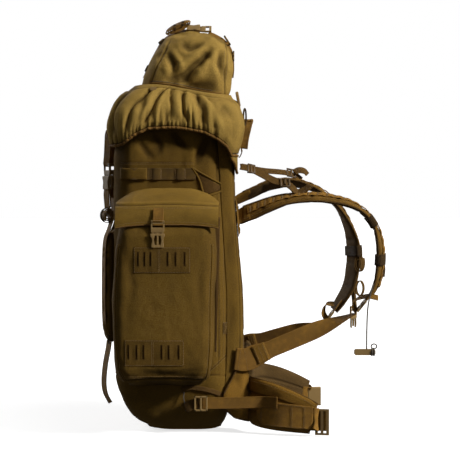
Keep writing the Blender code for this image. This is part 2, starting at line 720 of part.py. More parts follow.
def build_pockets():
    for tag, sign in SIDES:
        outer = [pocket_ring(row, sign) for row in POCKET]
        inner = [pocket_ring(row, sign, WALL) for row in reversed(POCKET[2:])]
        inner.append(pocket_ring((0.1215, -0.104, 0.051, 0.240, 0.026), sign, 0.0))
        verts, faces = loft(outer + inner)
        solid("side_pocket_" + tag, verts, faces, "pocket_fabric")

        for label, (x0, x1, z0, z1, centres) in (("upper", UPPER_SLOTS), ("lower", LOWER_SLOTS)):
            cuts = [x0]
            for centre in centres:
                cuts += [centre - SLOT[0] / 2, centre + SLOT[0] / 2]
            cuts.append(x1)
            middle = (z0 + z1) / 2
            levels = [z0, middle - SLOT[1] / 2, middle + SLOT[1] / 2, z1]
            holes = {(2 * n + 1, 1) for n in range(len(centres))}
            face = sign * (FACE_Y + GAP)
            depth = LAMINATE if sign < 0 else -LAMINATE
            slotted_plate("slot_panel_" + label + "_" + tag, cuts, levels, holes, (0.0, face, 0.0),
                          (1, 0, 0), (0, 0, 1), depth, "pocket_fabric")

        # webbing row above the flap, with raised loops
        back = POCKET_BACK
        flat = back + 0.0016
        high = back + 0.0046
        line = [(-0.122, back), (-0.122, flat)]
        for centre in (-0.0955, -0.049, 0.003):
            line += [(centre - 0.009, flat), (centre - 0.006, high), (centre + 0.006, high), (centre + 0.009, flat)]
        line += [(0.036, flat), (0.036, back)]
        rings = [[(x, sign * y, z) for x, y in line] for z in (0.5430, 0.5680)]
        verts, faces = loft(rings)
        solid("molle_band_" + tag, verts, faces, "webbing", smooth=False)

        # flap: an upturned tray whose top edge is the fold
        under = offset_line(FLAP_PROFILE, -WALL)
        outer, inner = [], []
        last = len(FLAP_PROFILE) - 1
        for (xo, drop), (xi, drop_in) in zip(FLAP_OUT, FLAP_IN):
            outer.append(
                [(xo, sign * y, z - drop * (1 - 0.75 * n / last)) for n, (y, z) in enumerate(FLAP_PROFILE)]
            )
            inner.append([(xi, sign * y, z - drop_in * (1 - 0.75 * n / last)) for n, (y, z) in enumerate(under)])
        verts = [p for row in outer for p in row] + [p for row in inner for p in row]
        rows, cols = len(outer), last + 1
        shift = rows * cols
        faces = []
        for r in range(rows - 1):
            for c in range(cols - 1):
                a, b, d, e = r * cols + c, r * cols + c + 1, (r + 1) * cols + c + 1, (r + 1) * cols + c
                faces.append((a, b, d, e))
                faces.append((shift + a, shift + b, shift + d, shift + e))
        rim = [c for c in range(cols)] + [r * cols + last for r in range(1, rows)]
        rim += [(rows - 1) * cols + c for c in range(last - 1, -1, -1)]
        rim += [r * cols for r in range(rows - 2, 0, -1)]
        for a, b in zip(rim, rim[1:] + rim[:1]):
            faces.append((a, b, shift + b, shift + a))
        pivot = (-0.023, sign * FLAP_AXIS[0], FLAP_AXIS[1])
        solid("pocket_flap_" + tag, verts, faces, "pocket_fabric", pivot)

        mouth = (POCKET_BUCKLE[0], sign * POCKET_BUCKLE[1], POCKET_BUCKLE[2])
        socket("pocket_buckle_female_" + tag, (BUCKLE["w"], BUCKLE["len"], BUCKLE["t"]), 0.0024, 0.0225,
               mouth, (1, 0, 0), (0, 0, 1), "buckle_plastic")
        prism("pocket_buckle_male_" + tag, male_outline(0.038), mouth, (1, 0, 0), (0, 0, 1),
              BUCKLE["plate"], "buckle_plastic", mouth)


# ---------------------------------------------------------------- front
def build_front():
    rows = [(-0.1443, 0.122, 0.186, 0.440), (-0.1540, 0.124, 0.184, 0.442), (-0.1640, 0.117, 0.191, 0.436),
            (-0.1680, 0.102, 0.206, 0.420)]
    rings = []
    for x, w, low, high in rows:
        c = 0.020
        rings.append(
            [(x, -w + c, low), (x, w - c, low), (x, w, low + c), (x, w, high - c),
             (x, w - c, high), (x, -w + c, high), (x, -w, high - c), (x, -w, low + c)]
        )
    verts, faces = loft(rings)
    solid("front_pocket", verts, faces, "pack_fabric")

    for tag, sign in SIDES:
        y = sign * LID_BUCKLE[1]
        mouth = (LID_BUCKLE[0], y, LID_BUCKLE[2])
        socket("lid_buckle_female_" + tag, (BUCKLE["w"], BUCKLE["len"], BUCKLE["t"]), 0.0024, 0.0225,
               mouth, (0, 1, 0), (0, 0, 1), "buckle_plastic")
        prism("lid_buckle_male_" + tag, male_outline(0.098), mouth, (0, 1, 0), (0, 0, 1), BUCKLE["plate"],
              "buckle_plastic", mouth)
        # webbing below the buckle, with its spare length rolled up, and the end sewn to the bag
        centre = (-0.1600, 0.4700)
        roll = 0.0115
        outline = [(-0.1572, 0.5285), (-0.1602, 0.5285)]
        for n in range(13):
            angle = math.radians(97.0 + 264.0 * n / 12)
            outline.append((centre[0] + roll * math.cos(angle), centre[1] + roll * math.sin(angle)))
        outline += [(-0.1466, 0.4830), (-0.1446, 0.5000), (-0.1446, 0.5060), (-0.1475, 0.5060)]
        rings = [[(x, y + w, z) for x, z in outline] for w in (-WEB_25 / 2, WEB_25 / 2)]
        verts, faces = loft(rings)
        solid("lid_webbing_" + tag, verts, faces, "webbing", smooth=False)

    tail = smooth_line([(-0.1465, -0.100, 0.182), (-0.1560, -0.100, 0.160), (-0.1640, -0.102, 0.125),
                        (-0.1665, -0.104, 0.092), (-0.1560, -0.106, 0.062)], 3)
    strap("front_strap_tail", [tuple(p) for p in tail], (0, 1, 0), WEB_25, WEB, "webbing")


# ---------------------------------------------------------------- harness
def gate_axis(sign):
    top = mirrored(GATE_TOP, sign)
    return (top[0], top[1], top[2])


def ladder_lock(name, origin, u, v, width, length, depth, pivot):
    w = width / 2
    bar = 0.0055
    cuts = [-w, -w + 0.004, w - 0.004, w]
    levels = [0.0, bar, length / 2 - bar / 2, length / 2 + bar / 2, length - bar, length]
    slotted_plate(name, cuts, levels, {(1, 1), (1, 3)}, origin, u, v, depth, "buckle_plastic", pivot)


def build_harness():
    for tag, sign in SIDES:
        rows = STRAP_R if tag == "R" else STRAP_L
        points = [row[:3] for row in rows]
        sides = [(0.0, row[3], row[4]) for row in rows]
        sections = [section_padded(row[5], row[6]) for row in rows]
        verts, faces = sweep(points, sides, sections)
        solid("shoulder_strap_" + tag, verts, faces, "padding", gate_axis(sign))

        # ladder lock at the strap's end, turning on its upper bar
        end = Vector(points[-1])
        along = (end - Vector(points[-2])).normalized()
        start = end + along * 0.0025
        across = Vector((0.0, 1.0, 0.0))
        depth_dir = across.cross(along)
        corner = start - depth_dir * 0.002
        ladder_lock("strap_lock_" + tag, corner, across, along, 0.046, 0.030, 0.004, tuple(start))

        # webbing from the lock to the pack's lower corner, widening into a sewn patch
        low = Vector(mirrored(GATE_LOW, sign))
        top = start + along * 0.0370
        path, faces_dir, widths = [], [], []
        flat = Vector((low.x - top.x, 0.0, low.z - top.z)).normalized()
        upright = Vector((-flat.z, 0.0, flat.x))
        if upright.z < 0:
            upright = -upright
        for t in (0.0, 0.12, 0.28, 0.45, 0.62, 0.78, 0.90, 1.0):
            path.append(top.lerp(low, t))
            twist = min(1.0, t / 0.5)
            faces_dir.append(Vector((0.0, 1.0, 0.0)).lerp(upright, twist))
            widths.append(WEB_38 + (0.016 if t > 0.85 else 0.0))
        path.append(low + Vector((-0.024, sign * -0.004, 0.002)))
        faces_dir.append(Vector((0.0, 0.0, 1.0)))
        widths.append(0.050)
        strap("lower_webbing_" + tag, path, faces_dir, widths, 0.002, "webbing", gate_axis(sign))

    # load lifters, from the top of the frame to the top of each strap
    right = smooth_line([(0.1335, -0.0600, 0.5790), (0.1560, -0.0630, 0.5740), (0.1800, -0.0720, 0.5620),
                         (0.2080, -0.0850, 0.5480), (0.2350, -0.0960, 0.5420)], 2)
    strap("load_lifter_R", [tuple(p) for p in right], (0.0, 1.0, 0.0), 0.022, WEB, "webbing", gate_axis(-1))
    left = smooth_line([(0.1335, 0.0600, 0.5790), (0.1600, 0.0650, 0.5740), (0.1900, 0.0760, 0.5690),
                        (0.2250, 0.0880, 0.5660), (0.2550, 0.0950, 0.5620)], 2)
    strap("load_lifter_L", [tuple(p) for p in left], (0.0, 1.0, 0.0), 0.022, WEB, "webbing", gate_axis(1))

    # chest strap: a whistle on a cord on the right, the plug half on the left
    cord("whistle_cord", [tuple(p) for p in smooth_line(WHISTLE_CORD, 5)], CORD_D, "cord")
    outline = [(-0.023, -0.004), (-0.020, -0.0065), (0.020, -0.0065), (0.023, -0.004),
               (0.023, 0.004), (0.020, 0.0065), (-0.020, 0.0065), (-0.023, 0.004)]
    prism("whistle", outline, (0.4030, -0.1455, 0.1760), (1, 0, 0), (0, 0, 1), 0.011, "buckle_plastic")
    prism("sternum_plug_L", male_outline(0.074, 1.15), (0.3950, 0.100, 0.2260), (0, 1, 0), (0, 0, 1),
          0.003, "buckle_plastic", (0.3950, 0.100, 0.3110))


# ---------------------------------------------------------------- hip belt
def build_belt():
    for tag, sign in SIDES:
        pivot = (WING_AXIS[0], sign * WING_AXIS[1], 0.070)
        rings = []
        for i, (x, y, low, high, thick) in enumerate(WING):
            before = WING[max(i - 1, 0)]
            after = WING[min(i + 1, len(WING) - 1)]
            dx, dy = after[0] - before[0], after[1] - before[1]
            length = math.hypot(dx, dy)
            nx, ny = -dy / length, dx / length
            t, c = thick / 2, 0.006
            flat = [(-t, low + c), (-t + c, low), (t - c, low), (t, low + c),
                    (t, high - c), (t - c, high), (-t + c, high), (-t, high - c)]
            rings.append([(x + nx * n, sign * (y + ny * n), z) for n, z in flat])
        verts, faces = loft(rings)
        solid("hip_wing_" + tag, verts, faces, "padding", pivot)

        tip = Vector((WING[-1][0], sign * WING[-1][1], 0.0))
        back = Vector((WING[-2][0], sign * WING[-2][1], 0.0))
        along = (tip - back).normalized()
        start = tip + along * 0.0030
        across = Vector((0.0, 0.0, 1.0))
        if tag == "R":
            depth_dir = across.cross(along)
            corner = Vector((start.x, start.y, 0.031)) - depth_dir * 0.0025
            ladder_lock("belt_slider_R", corner, across, along, 0.056, 0.030, 0.005,
                        (start.x, start.y, 0.031))
        else:
            mouth = Vector((start.x, start.y, 0.034)) + along * 0.032
            socket("belt_buckle_L", (0.044, 0.032, 0.0115), 0.0028, 0.024, mouth, across, along,
                   "buckle_plastic", (start.x, start.y, 0.034))

        # stabiliser webbing and its lock on the pack's lower side
        lock_x, lock_y, lock_z = 0.0320, 0.1680, 0.0680
        corner = (lock_x, sign * lock_y, lock_z)
        depth = -0.004 if sign > 0 else 0.004
        v = (1, 0, 0)
        u = (0, 0, 1)
        w = 0.015
        cuts = [-w, -w + 0.003, w - 0.003, w]
        levels = [0.0, 0.0045, 0.0115, 0.0160, 0.0235, 0.0280]
        slotted_plate("stabiliser_lock_" + tag, cuts, levels, {(1, 1), (1, 3)}, corner, u, v, -depth,
                      "buckle_plastic", corner)
        path = [(0.0625, 0.1700, 0.068), (0.1000, 0.1705, 0.068), (0.1400, 0.1705, 0.069),
                (0.1760, 0.1708, 0.070), (0.1950, 0.1798, 0.071), (0.2120, 0.1895, 0.071)]
        strap("stabiliser_" + tag, [(x, sign * y, z) for x, y, z in path], (0, 0, 1), WEB_25, WEB, "webbing",
              pivot)


clear_scene()
build_bag()
build_back()
build_lid()
build_pockets()
build_front()
build_harness()
build_belt()
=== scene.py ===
"""Looks of the hunting backpack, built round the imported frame.

Metres, in the frame of the model: +X to the wearer, +Y to the wearer's left, +Z up.
Names end in _R for the wearer's right side (-Y) and _L for the left side (+Y).
"""

import math

import bmesh
import bpy
import numpy as np
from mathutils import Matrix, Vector
from mathutils.bvhtree import BVHTree


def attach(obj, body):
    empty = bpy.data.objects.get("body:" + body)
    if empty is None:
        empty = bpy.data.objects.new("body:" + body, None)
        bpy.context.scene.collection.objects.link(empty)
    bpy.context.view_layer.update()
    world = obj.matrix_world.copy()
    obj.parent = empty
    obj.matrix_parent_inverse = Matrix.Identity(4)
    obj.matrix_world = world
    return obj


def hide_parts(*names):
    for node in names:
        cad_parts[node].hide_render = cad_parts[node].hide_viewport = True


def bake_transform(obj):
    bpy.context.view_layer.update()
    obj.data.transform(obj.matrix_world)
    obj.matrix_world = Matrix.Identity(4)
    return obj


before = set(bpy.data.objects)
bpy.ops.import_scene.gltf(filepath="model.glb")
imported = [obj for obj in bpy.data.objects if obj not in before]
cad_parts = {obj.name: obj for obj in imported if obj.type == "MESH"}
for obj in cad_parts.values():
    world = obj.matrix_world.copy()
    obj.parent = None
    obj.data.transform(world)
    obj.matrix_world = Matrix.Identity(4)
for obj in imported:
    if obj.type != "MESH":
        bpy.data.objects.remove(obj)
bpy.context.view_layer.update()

SIDES = (("R", -1.0), ("L", 1.0))

# ---------------------------------------------------------------- forms shared with the frame
SIDE_Y = 0.168
# (z, front x, back x, half width, corner radius)
BAG = [
    (0.0043, -0.060, 0.086, 0.100, 0.045), (0.0100, -0.078, 0.094, 0.118, 0.045),
    (0.0220, -0.096, 0.100, 0.136, 0.048), (0.0450, -0.116, 0.106, 0.152, 0.050),
    (0.0750, -0.130, 0.110, 0.162, 0.050), (0.1100, -0.139, 0.112, 0.1668, 0.050),
    (0.1500, -0.1435, 0.1145, SIDE_Y, 0.050), (0.2000, -0.144, 0.116, SIDE_Y, 0.050),
    (0.3000, -0.144, 0.1155, SIDE_Y, 0.050), (0.4000, -0.144, 0.110, SIDE_Y, 0.050),
    (0.5000, -0.144, 0.1035, SIDE_Y, 0.050), (0.6000, -0.1425, 0.099, SIDE_Y, 0.052),
    (0.6600, -0.134, 0.094, 0.160, 0.055), (0.6900, -0.124, 0.088, 0.150, 0.055),
]
HOOD = [
    (0.5600, -0.1505, 0.1265, 0.186, 0.055), (0.6640, -0.1505, 0.1265, 0.186, 0.055),
    (0.7000, -0.147, 0.1240, 0.181, 0.055), (0.7220, -0.140, 0.1205, 0.172, 0.055),
    (0.7400, -0.127, 0.1160, 0.161, 0.055), (0.7520, -0.108, 0.1120, 0.153, 0.055),
    (0.7570, -0.095, 0.1090, 0.147, 0.055),
]
HEM = [
    (-0.1505, 0.628), (-0.135, 0.629), (-0.1225, 0.632), (-0.095, 0.652), (-0.065, 0.6655),
    (-0.030, 0.6675), (0.003, 0.667), (0.0565, 0.657), (0.080, 0.643), (0.098, 0.627),
    (0.1125, 0.607), (0.130, 0.607),
]
TOP_POCKET = [
    (0.7573, -0.084, 0.104, 0.138, 0.050), (0.7750, -0.079, 0.110, 0.137, 0.050),
    (0.8050, -0.066, 0.116, 0.131, 0.050), (0.8350, -0.050, 0.115, 0.118, 0.048),
    (0.8550, -0.038, 0.104, 0.100, 0.045), (0.8680, -0.022, 0.085, 0.078, 0.040),
    (0.8750, -0.002, 0.062, 0.050, 0.030),
]
PANEL_REAR = [
    (0.075, 0.137), (0.110, 0.139), (0.150, 0.141), (0.200, 0.1415),
    (0.300, 0.1395), (0.400, 0.1305), (0.500, 0.1220), (0.600, 0.1200),
]
POCKET = [
    (0.1150, -0.098, 0.046, 0.2320, 0.030), (0.1200, -0.113, 0.058, 0.2520, 0.030),
    (0.1320, -0.124, 0.066, 0.2690, 0.028), (0.1500, -0.131, 0.071, 0.2783, 0.024),
    (0.2000, -0.1365, 0.074, 0.2783, 0.024), (0.3000, -0.139, 0.077, 0.2783, 0.028),
    (0.4000, -0.134, 0.081, 0.2783, 0.030), (0.4400, -0.1255, 0.079, 0.2783, 0.030),
    (0.4600, -0.1235, 0.078, 0.2685, 0.030), (0.4750, -0.122, 0.077, 0.2620, 0.030),
]
POCKET_BACK = SIDE_Y + 0.0003
FLAP_PROFILE = [
    (0.1715, 0.531), (0.195, 0.531), (0.235, 0.518), (0.262, 0.500), (0.275, 0.480), (0.2785, 0.458),
]
STRAP_R = [
    (0.1395, -0.0830, 0.474, 0.79, 0.62, 0.054, 0.010), (0.1650, -0.0900, 0.483, 0.83, 0.56, 0.060, 0.012),
    (0.2000, -0.0990, 0.497, 0.90, 0.44, 0.062, 0.013), (0.2400, -0.1080, 0.508, 0.95, 0.30, 0.062, 0.013),
    (0.2850, -0.1150, 0.512, 0.97, 0.24, 0.062, 0.013), (0.3300, -0.1200, 0.508, 0.98, 0.20, 0.061, 0.013),
    (0.3720, -0.1220, 0.497, 1.00, 0.12, 0.060, 0.013), (0.4050, -0.1220, 0.476, 1.00, 0.00, 0.059, 0.013),
    (0.4270, -0.1210, 0.446, 1.00, 0.00, 0.057, 0.013), (0.4370, -0.1200, 0.408, 1.00, 0.00, 0.055, 0.013),
    (0.4380, -0.1190, 0.368, 1.00, 0.00, 0.053, 0.013), (0.4320, -0.1180, 0.330, 1.00, 0.00, 0.050, 0.012),
    (0.4220, -0.1170, 0.305, 1.00, 0.00, 0.044, 0.009), (0.4080, -0.1170, 0.288, 1.00, 0.00, 0.038, 0.003),
]
STRAP_L = [
    (0.1395, 0.0770, 0.510, -0.86, 0.50, 0.044, 0.010), (0.1650, 0.0840, 0.520, -0.90, 0.42, 0.052, 0.012),
    (0.2020, 0.0900, 0.536, -0.93, 0.36, 0.058, 0.013), (0.2500, 0.0960, 0.541, -0.97, 0.25, 0.060, 0.013),
    (0.2940, 0.0990, 0.531, -1.00, 0.15, 0.060, 0.013), (0.3290, 0.1000, 0.513, -1.00, 0.00, 0.060, 0.013),
    (0.3590, 0.1000, 0.485, -1.00, 0.00, 0.059, 0.013), (0.3810, 0.1000, 0.444, -1.00, 0.00, 0.058, 0.013),
    (0.3940, 0.1000, 0.397, -1.00, 0.00, 0.056, 0.013), (0.3940, 0.1000, 0.351, -1.00, 0.00, 0.054, 0.013),
    (0.3850, 0.1000, 0.305, -1.00, 0.00, 0.052, 0.012), (0.3650, 0.1000, 0.268, -1.00, 0.00, 0.046, 0.009),
    (0.3500, 0.1000, 0.247, -1.00, 0.00, 0.038, 0.003),
]
WING = [
    (0.1540, 0.1010, 0.020, 0.118, 0.016), (0.1610, 0.1280, 0.016, 0.119, 0.018),
    (0.1800, 0.1560, 0.013, 0.117, 0.018), (0.2150, 0.1770, 0.009, 0.107, 0.018),
    (0.2550, 0.1890, 0.006, 0.090, 0.017), (0.2900, 0.1960, 0.004, 0.072, 0.014),
]
WHISTLE_CORD = [
    (0.4215, -0.1452, 0.325), (0.4150, -0.1455, 0.303), (0.4095, -0.1455, 0.272),
    (0.4075, -0.1455, 0.230), (0.4070, -0.1455, 0.1828),
]
CORD_D = 0.003


# ---------------------------------------------------------------- numbers
def unit(a):
    return a / np.maximum(np.linalg.norm(a, axis=-1, keepdims=True), 1e-12)


LATTICE = np.random.RandomState(11).rand(64, 64, 64)


def noise(p, scale, seed=0.0):
    """Smooth noise from -1 to 1 at points in metres; scale is one number or three."""
    q = np.asarray(p, float) / np.asarray(scale, float) + seed * 7.31 + 40.0
    i = np.floor(q).astype(int)
    f = q - i
    f = f * f * (3.0 - 2.0 * f)
    i &= 63
    j = (i + 1) & 63
    x0, y0, z0, x1, y1, z1 = i[..., 0], i[..., 1], i[..., 2], j[..., 0], j[..., 1], j[..., 2]
    fx, fy, fz = f[..., 0], f[..., 1], f[..., 2]
    a = LATTICE[x0, y0, z0] * (1 - fx) + LATTICE[x1, y0, z0] * fx
    b = LATTICE[x0, y1, z0] * (1 - fx) + LATTICE[x1, y1, z0] * fx
    c = LATTICE[x0, y0, z1] * (1 - fx) + LATTICE[x1, y0, z1] * fx
    d = LATTICE[x0, y1, z1] * (1 - fx) + LATTICE[x1, y1, z1] * fx
    return ((a * (1 - fy) + b * fy) * (1 - fz) + (c * (1 - fy) + d * fy) * fz) * 2.0 - 1.0


def layers(p, scale, seed=0.0, count=3):
    total, weight, size = 0.0, 1.0, np.asarray(scale, float)
    for k in range(count):
        total = total + noise(p, size, seed + k * 3.7) * weight
        weight *= 0.5
        size = size * 0.5
    return total / 1.75


def ease(x, low, high):
    t = np.clip((np.asarray(x, float) - low) / (high - low), 0.0, 1.0)
    return t * t * (3.0 - 2.0 * t)


def bump(x, middle, width):
    return np.exp(-(((np.asarray(x, float) - middle) / width) ** 2))


def columns(table, z, soften=0.0):
    """Columns of a table at heights z, by straight lines, softened over a height."""
    rows = np.array(table, float)
    z = np.asarray(z, float)
    out = []
    for c in range(1, rows.shape[1]):
        if soften > 0:
            total = 0.0
            for shift, weight in ((-1, 0.25), (-0.5, 0.25), (0, 0.0), (0.5, 0.25), (1, 0.25)):
                total = total + np.interp(z + shift * soften, rows[:, 0], rows[:, c]) * weight
            out.append(total)
        else:
            out.append(np.interp(z, rows[:, 0], rows[:, c]))
    return out


def distance_to(x, z, line):
    """Distance of points (x, z) from a line of points, and how far along it the nearest is, 0 to 1."""
    best = np.full(np.shape(x), 1e9)
    where = np.zeros(np.shape(x))
    line = np.array(line, float)
    lengths = np.linalg.norm(np.diff(line, axis=0), axis=1)
    total, done = lengths.sum(), 0.0
    for a, b, length in zip(line, line[1:], lengths):
        t = np.clip(((x - a[0]) * (b[0] - a[0]) + (z - a[1]) * (b[1] - a[1])) / length**2, 0, 1)
        d = np.hypot(x - a[0] - t * (b[0] - a[0]), z - a[1] - t * (b[1] - a[1]))
        near = d < best
        best = np.where(near, d, best)
        where = np.where(near, (done + t * length) / total, where)
        done += length
    return best, where


def spline(points, step):
    """Points at even spacing on a smooth curve through the given ones."""
    p = np.array(points, float)
    p = np.vstack([p[0] * 2 - p[1], p, p[-1] * 2 - p[-2]])
    out = []
    for i in range(1, len(p) - 2):
        t = np.linspace(0, 1, 16, endpoint=False)[:, None]
        out.append(
            0.5 * (2 * p[i] + (p[i + 1] - p[i - 1]) * t
                   + (2 * p[i - 1] - 5 * p[i] + 4 * p[i + 1] - p[i + 2]) * t**2
                   + (3 * p[i] - p[i - 1] - 3 * p[i + 1] + p[i + 2]) * t**3)
        )
    out.append(p[-2][None])
    dense = np.vstack(out)
    return resample(dense, step)


def resample(dense, step, key=3):
    along = np.concatenate([[0], np.cumsum(np.linalg.norm(np.diff(dense[:, :key], axis=0), axis=1))])
    count = max(3, int(round(along[-1] / step)) + 1)
    at = np.linspace(0, along[-1], count)
    return np.stack([np.interp(at, along, dense[:, c]) for c in range(dense.shape[1])], 1)


def plan_ring(front, back, half, radius, side=48, end=56, arc=14):
    """Rounded rectangle in plan, anticlockwise from the rear left corner, evenly dense."""
    corners = [
        (back - radius, half - radius, 0.0), (front + radius, half - radius, 90.0),
        (front + radius, -half + radius, 180.0), (back - radius, -half + radius, 270.0),
    ]
    points = []
    for k, (cx, cy, start) in enumerate(corners):
        angle = np.radians(start + 90.0 * np.arange(arc + 1) / arc)
        curve = np.stack([cx + radius * np.cos(angle), cy + radius * np.sin(angle)], 1)
        nx, ny, turn = corners[(k + 1) % 4]
        turn = math.radians(turn)
        first = np.array([nx + radius * math.cos(turn), ny + radius * math.sin(turn)])
        cuts = side if k % 2 == 0 else end
        t = (np.arange(1, cuts) / cuts)[:, None]
        points += [curve, curve[-1] + (first - curve[-1]) * t]
    return np.vstack(points)


def stack(table, heights, soften=0.0, **cuts):
    """Points [level, around, xyz] of rounded rectangles that follow a table."""
    front, back, half, radius = columns(table, heights, soften)
    rings = []
    for i, z in enumerate(heights):
        ring = plan_ring(front[i], back[i], half[i], radius[i], **cuts)
        rings.append(np.column_stack([ring, np.full(len(ring), z)]))
    return np.array(rings)


def normals(points, wrap):
    if wrap:
        du = np.roll(points, -1, 1) - np.roll(points, 1, 1)
    else:
        du = np.gradient(points, axis=1)
    dv = np.gradient(points, axis=0)
    return unit(np.cross(du, dv))


# ---------------------------------------------------------------- meshes
class Geo:
    """Vertices, faces, weave coordinates in metres and how deep each point lies in a fold. The finishes paint shade
    into the colour where the fold value is below nought and a highlight where it is above, and some pieces take a
    fixed value below nought as painted shade.
    """

    def __init__(self):
        self.verts, self.faces, self.uvs, self.folds, self.count = [], [], [], [], 0

    def add(self, verts, faces, uvs, fold=None):
        verts = np.asarray(verts, float).reshape(-1, 3)
        self.verts.append(verts)
        self.faces += [[i + self.count for i in face] for face in faces]
        self.uvs.append(np.asarray(uvs, float).reshape(-1, 2))
        self.folds.append(np.zeros(len(verts)) if fold is None else np.asarray(fold, float).ravel())
        self.count += len(verts)
        return self

    def make(self, name, body, finish, replaces=(), slot=None, smooth=True, sharp=None):
        mesh = bpy.data.meshes.new(name)
        mesh.from_pydata(np.concatenate(self.verts).tolist(), [], self.faces)
        layer = mesh.uv_layers.new(name="UVMap")
        layer.data.foreach_set("uv", np.concatenate(self.uvs).astype(np.float32).ravel())
        field = mesh.attributes.new("fold", "FLOAT", "POINT")
        field.data.foreach_set("value", np.concatenate(self.folds).astype(np.float32))
        mesh.polygons.foreach_set("use_smooth", [smooth] * len(mesh.polygons))
        if sharp:
            mesh.set_sharp_from_angle(angle=math.radians(sharp))
        mesh.materials.append(finish)
        mesh.update()
        obj = bpy.data.objects.new(name, mesh)
        bpy.context.scene.collection.objects.link(obj)
        if body:
            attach(obj, body)
        if replaces:
            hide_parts(*replaces)
        return obj

    def surface(self):
        return Surface(np.concatenate(self.verts), self.faces)


class Surface:
    """A mesh that lines and patches can be laid on."""

    def __init__(self, verts, faces):
        self.tree = BVHTree.FromPolygons(np.asarray(verts).tolist(), faces)

    def drop(self, points, direction, reach=0.6):
        """Where points land on the surface when they are sent along a direction, and the normals there."""
        d = Vector(direction).normalized()
        hits, norms = [], []
        for p in np.asarray(points, float).reshape(-1, 3):
            start = Vector(p) - d * reach
            place, normal, _, _ = self.tree.ray_cast(start, d)
            if place is None:
                place, normal, _, _ = self.tree.find_nearest(Vector(p))
            if normal.dot(d) > 0:
                normal = -normal
            hits.append(place)
            norms.append(normal)
        return np.array(hits), unit(np.array(norms))


def grid_faces(rows, cols, wrap, start=0):
    last = cols if wrap else cols - 1
    r, c = np.meshgrid(np.arange(rows - 1), np.arange(last), indexing="ij")
    n = (c + 1) % cols
    quads = np.stack([r * cols + c, r * cols + n, (r + 1) * cols + n, (r + 1) * cols + c], -1)
    return (quads.reshape(-1, 4) + start), r.ravel(), c.ravel()


def lengths_of(points, wrap):
    """Weave coordinates in metres: along the middle row, and up the middle column."""
    rows, cols = points.shape[:2]
    middle = points[rows // 2]
    ring = np.vstack([middle, middle[:1]]) if wrap else middle
    u = np.concatenate([[0], np.cumsum(np.linalg.norm(np.diff(ring, axis=0), axis=1))])
    v = np.concatenate([[0], np.cumsum(np.linalg.norm(np.diff(points[:, cols // 2], axis=0), axis=1))])
    return u, v


def corner_uvs(u, v, r, c):
    a = np.stack([np.stack([u[c], v[r]], -1), np.stack([u[c + 1], v[r]], -1),
                  np.stack([u[c + 1], v[r + 1]], -1), np.stack([u[c], v[r + 1]], -1)], 1)
    return a.reshape(-1, 2)


def shell(geo, points, wrap, thick, fold=None, low_cap=False, high_cap=False, lean=None):
    """A grid of points given thickness inwards, closed round its edges or capped."""
    rows, cols = points.shape[:2]
    inward = normals(points, wrap) if lean is None else lean
    inner = points - inward * (thick if np.isscalar(thick) else np.asarray(thick)[..., None])
    verts = np.vstack([points.reshape(-1, 3), inner.reshape(-1, 3)])
    shift = rows * cols
    u, v = lengths_of(points, wrap)
    if not wrap:
        u = np.append(u, u[-1])
    faces, uvs = [], []
    quads, r, c = grid_faces(rows, cols, wrap)
    faces += quads.tolist()
    uvs.append(corner_uvs(u, v, r, c))
    faces += (quads[:, ::-1] + shift).tolist()
    uvs.append(corner_uvs(u, v, r, c).reshape(-1, 4, 2)[:, ::-1].reshape(-1, 2))

    def rim(indices, flip, closed):
        indices = list(indices)
        pairs = zip(indices, indices[1:] + indices[:1]) if closed else zip(indices, indices[1:])
        for a, b in pairs:
            quad = [a, b, b + shift, a + shift]
            faces.append(quad[::-1] if flip else quad)
            flat = np.array([[0, 0], [0.003, 0], [0.003, 0.003], [0, 0.003]])
            uvs.append(flat[::-1] if flip else flat)

    top = range((rows - 1) * cols, rows * cols)
    if low_cap:
        for base, flip in ((0, True), (shift, False)):
            loop = [base + i for i in range(cols)]
            faces.append(loop[::-1] if flip else loop)
            uvs.append(verts[faces[-1]][:, :2])
    else:
        rim(range(cols), True, wrap)
    if high_cap:
        for base, flip in ((0, False), (shift, True)):
            loop = [base + i for i in top]
            faces.append(loop[::-1] if flip else loop)
            uvs.append(verts[faces[-1]][:, :2])
    else:
        rim(top, False, wrap)
    if not wrap:
        rim([i * cols for i in range(rows)], False, False)
        rim([i * cols + cols - 1 for i in range(rows)], True, False)
    fold = np.zeros((rows, cols)) if fold is None else fold
    # the inner sheet's fold value is 0.3 lower: painted shade on the inside faces
    return geo.add(verts, faces, np.vstack(uvs), np.concatenate([fold.ravel(), fold.ravel() - 0.3]))


def frames(points, sides):
    points = np.asarray(points, float)
    sides = np.asarray(sides, float)
    if sides.ndim == 1:
        sides = np.tile(sides, (len(points), 1))
    ahead = unit(np.diff(points, axis=0))
    along = unit(np.vstack([ahead[:1], ahead[:-1] + ahead[1:], ahead[-1:]]))
    side = unit(sides - along * (sides * along).sum(1, keepdims=True))
    return along, side, np.cross(along, side)


def sweep(geo, points, sides, sections, fold=None, caps=True, closed=True):
    """Sections in (side, normal) metres carried along points."""
    points = np.asarray(points, float)
    _, side, normal = frames(points, sides)
    sections = np.asarray(sections, float)
    if sections.ndim == 2:
        sections = np.tile(sections, (len(points), 1, 1))
    grid = points[:, None] + side[:, None] * sections[..., :1] + normal[:, None] * sections[..., 1:2]
    rows, cols = grid.shape[:2]
    ring = sections[rows // 2]
    ring = np.vstack([ring, ring[:1]])
    u = np.concatenate([[0], np.cumsum(np.linalg.norm(np.diff(ring, axis=0), axis=1))])
    v = np.concatenate([[0], np.cumsum(np.linalg.norm(np.diff(points, axis=0), axis=1))])
    quads, r, c = grid_faces(rows, cols, closed)
    faces, uvs = quads.tolist(), [corner_uvs(u, v, r, c)]
    if caps and closed:
        faces.append(list(range(cols))[::-1])
        uvs.append(sections[0][::-1])
        faces.append([(rows - 1) * cols + i for i in range(cols)])
        uvs.append(sections[-1])
    geo.add(grid.reshape(-1, 3), faces, np.vstack(uvs), fold)
    return grid


def round_section(radius, count=10):
    angle = 2 * np.pi * np.arange(count) / count
    return np.stack([radius * np.cos(angle), radius * np.sin(angle)], 1)


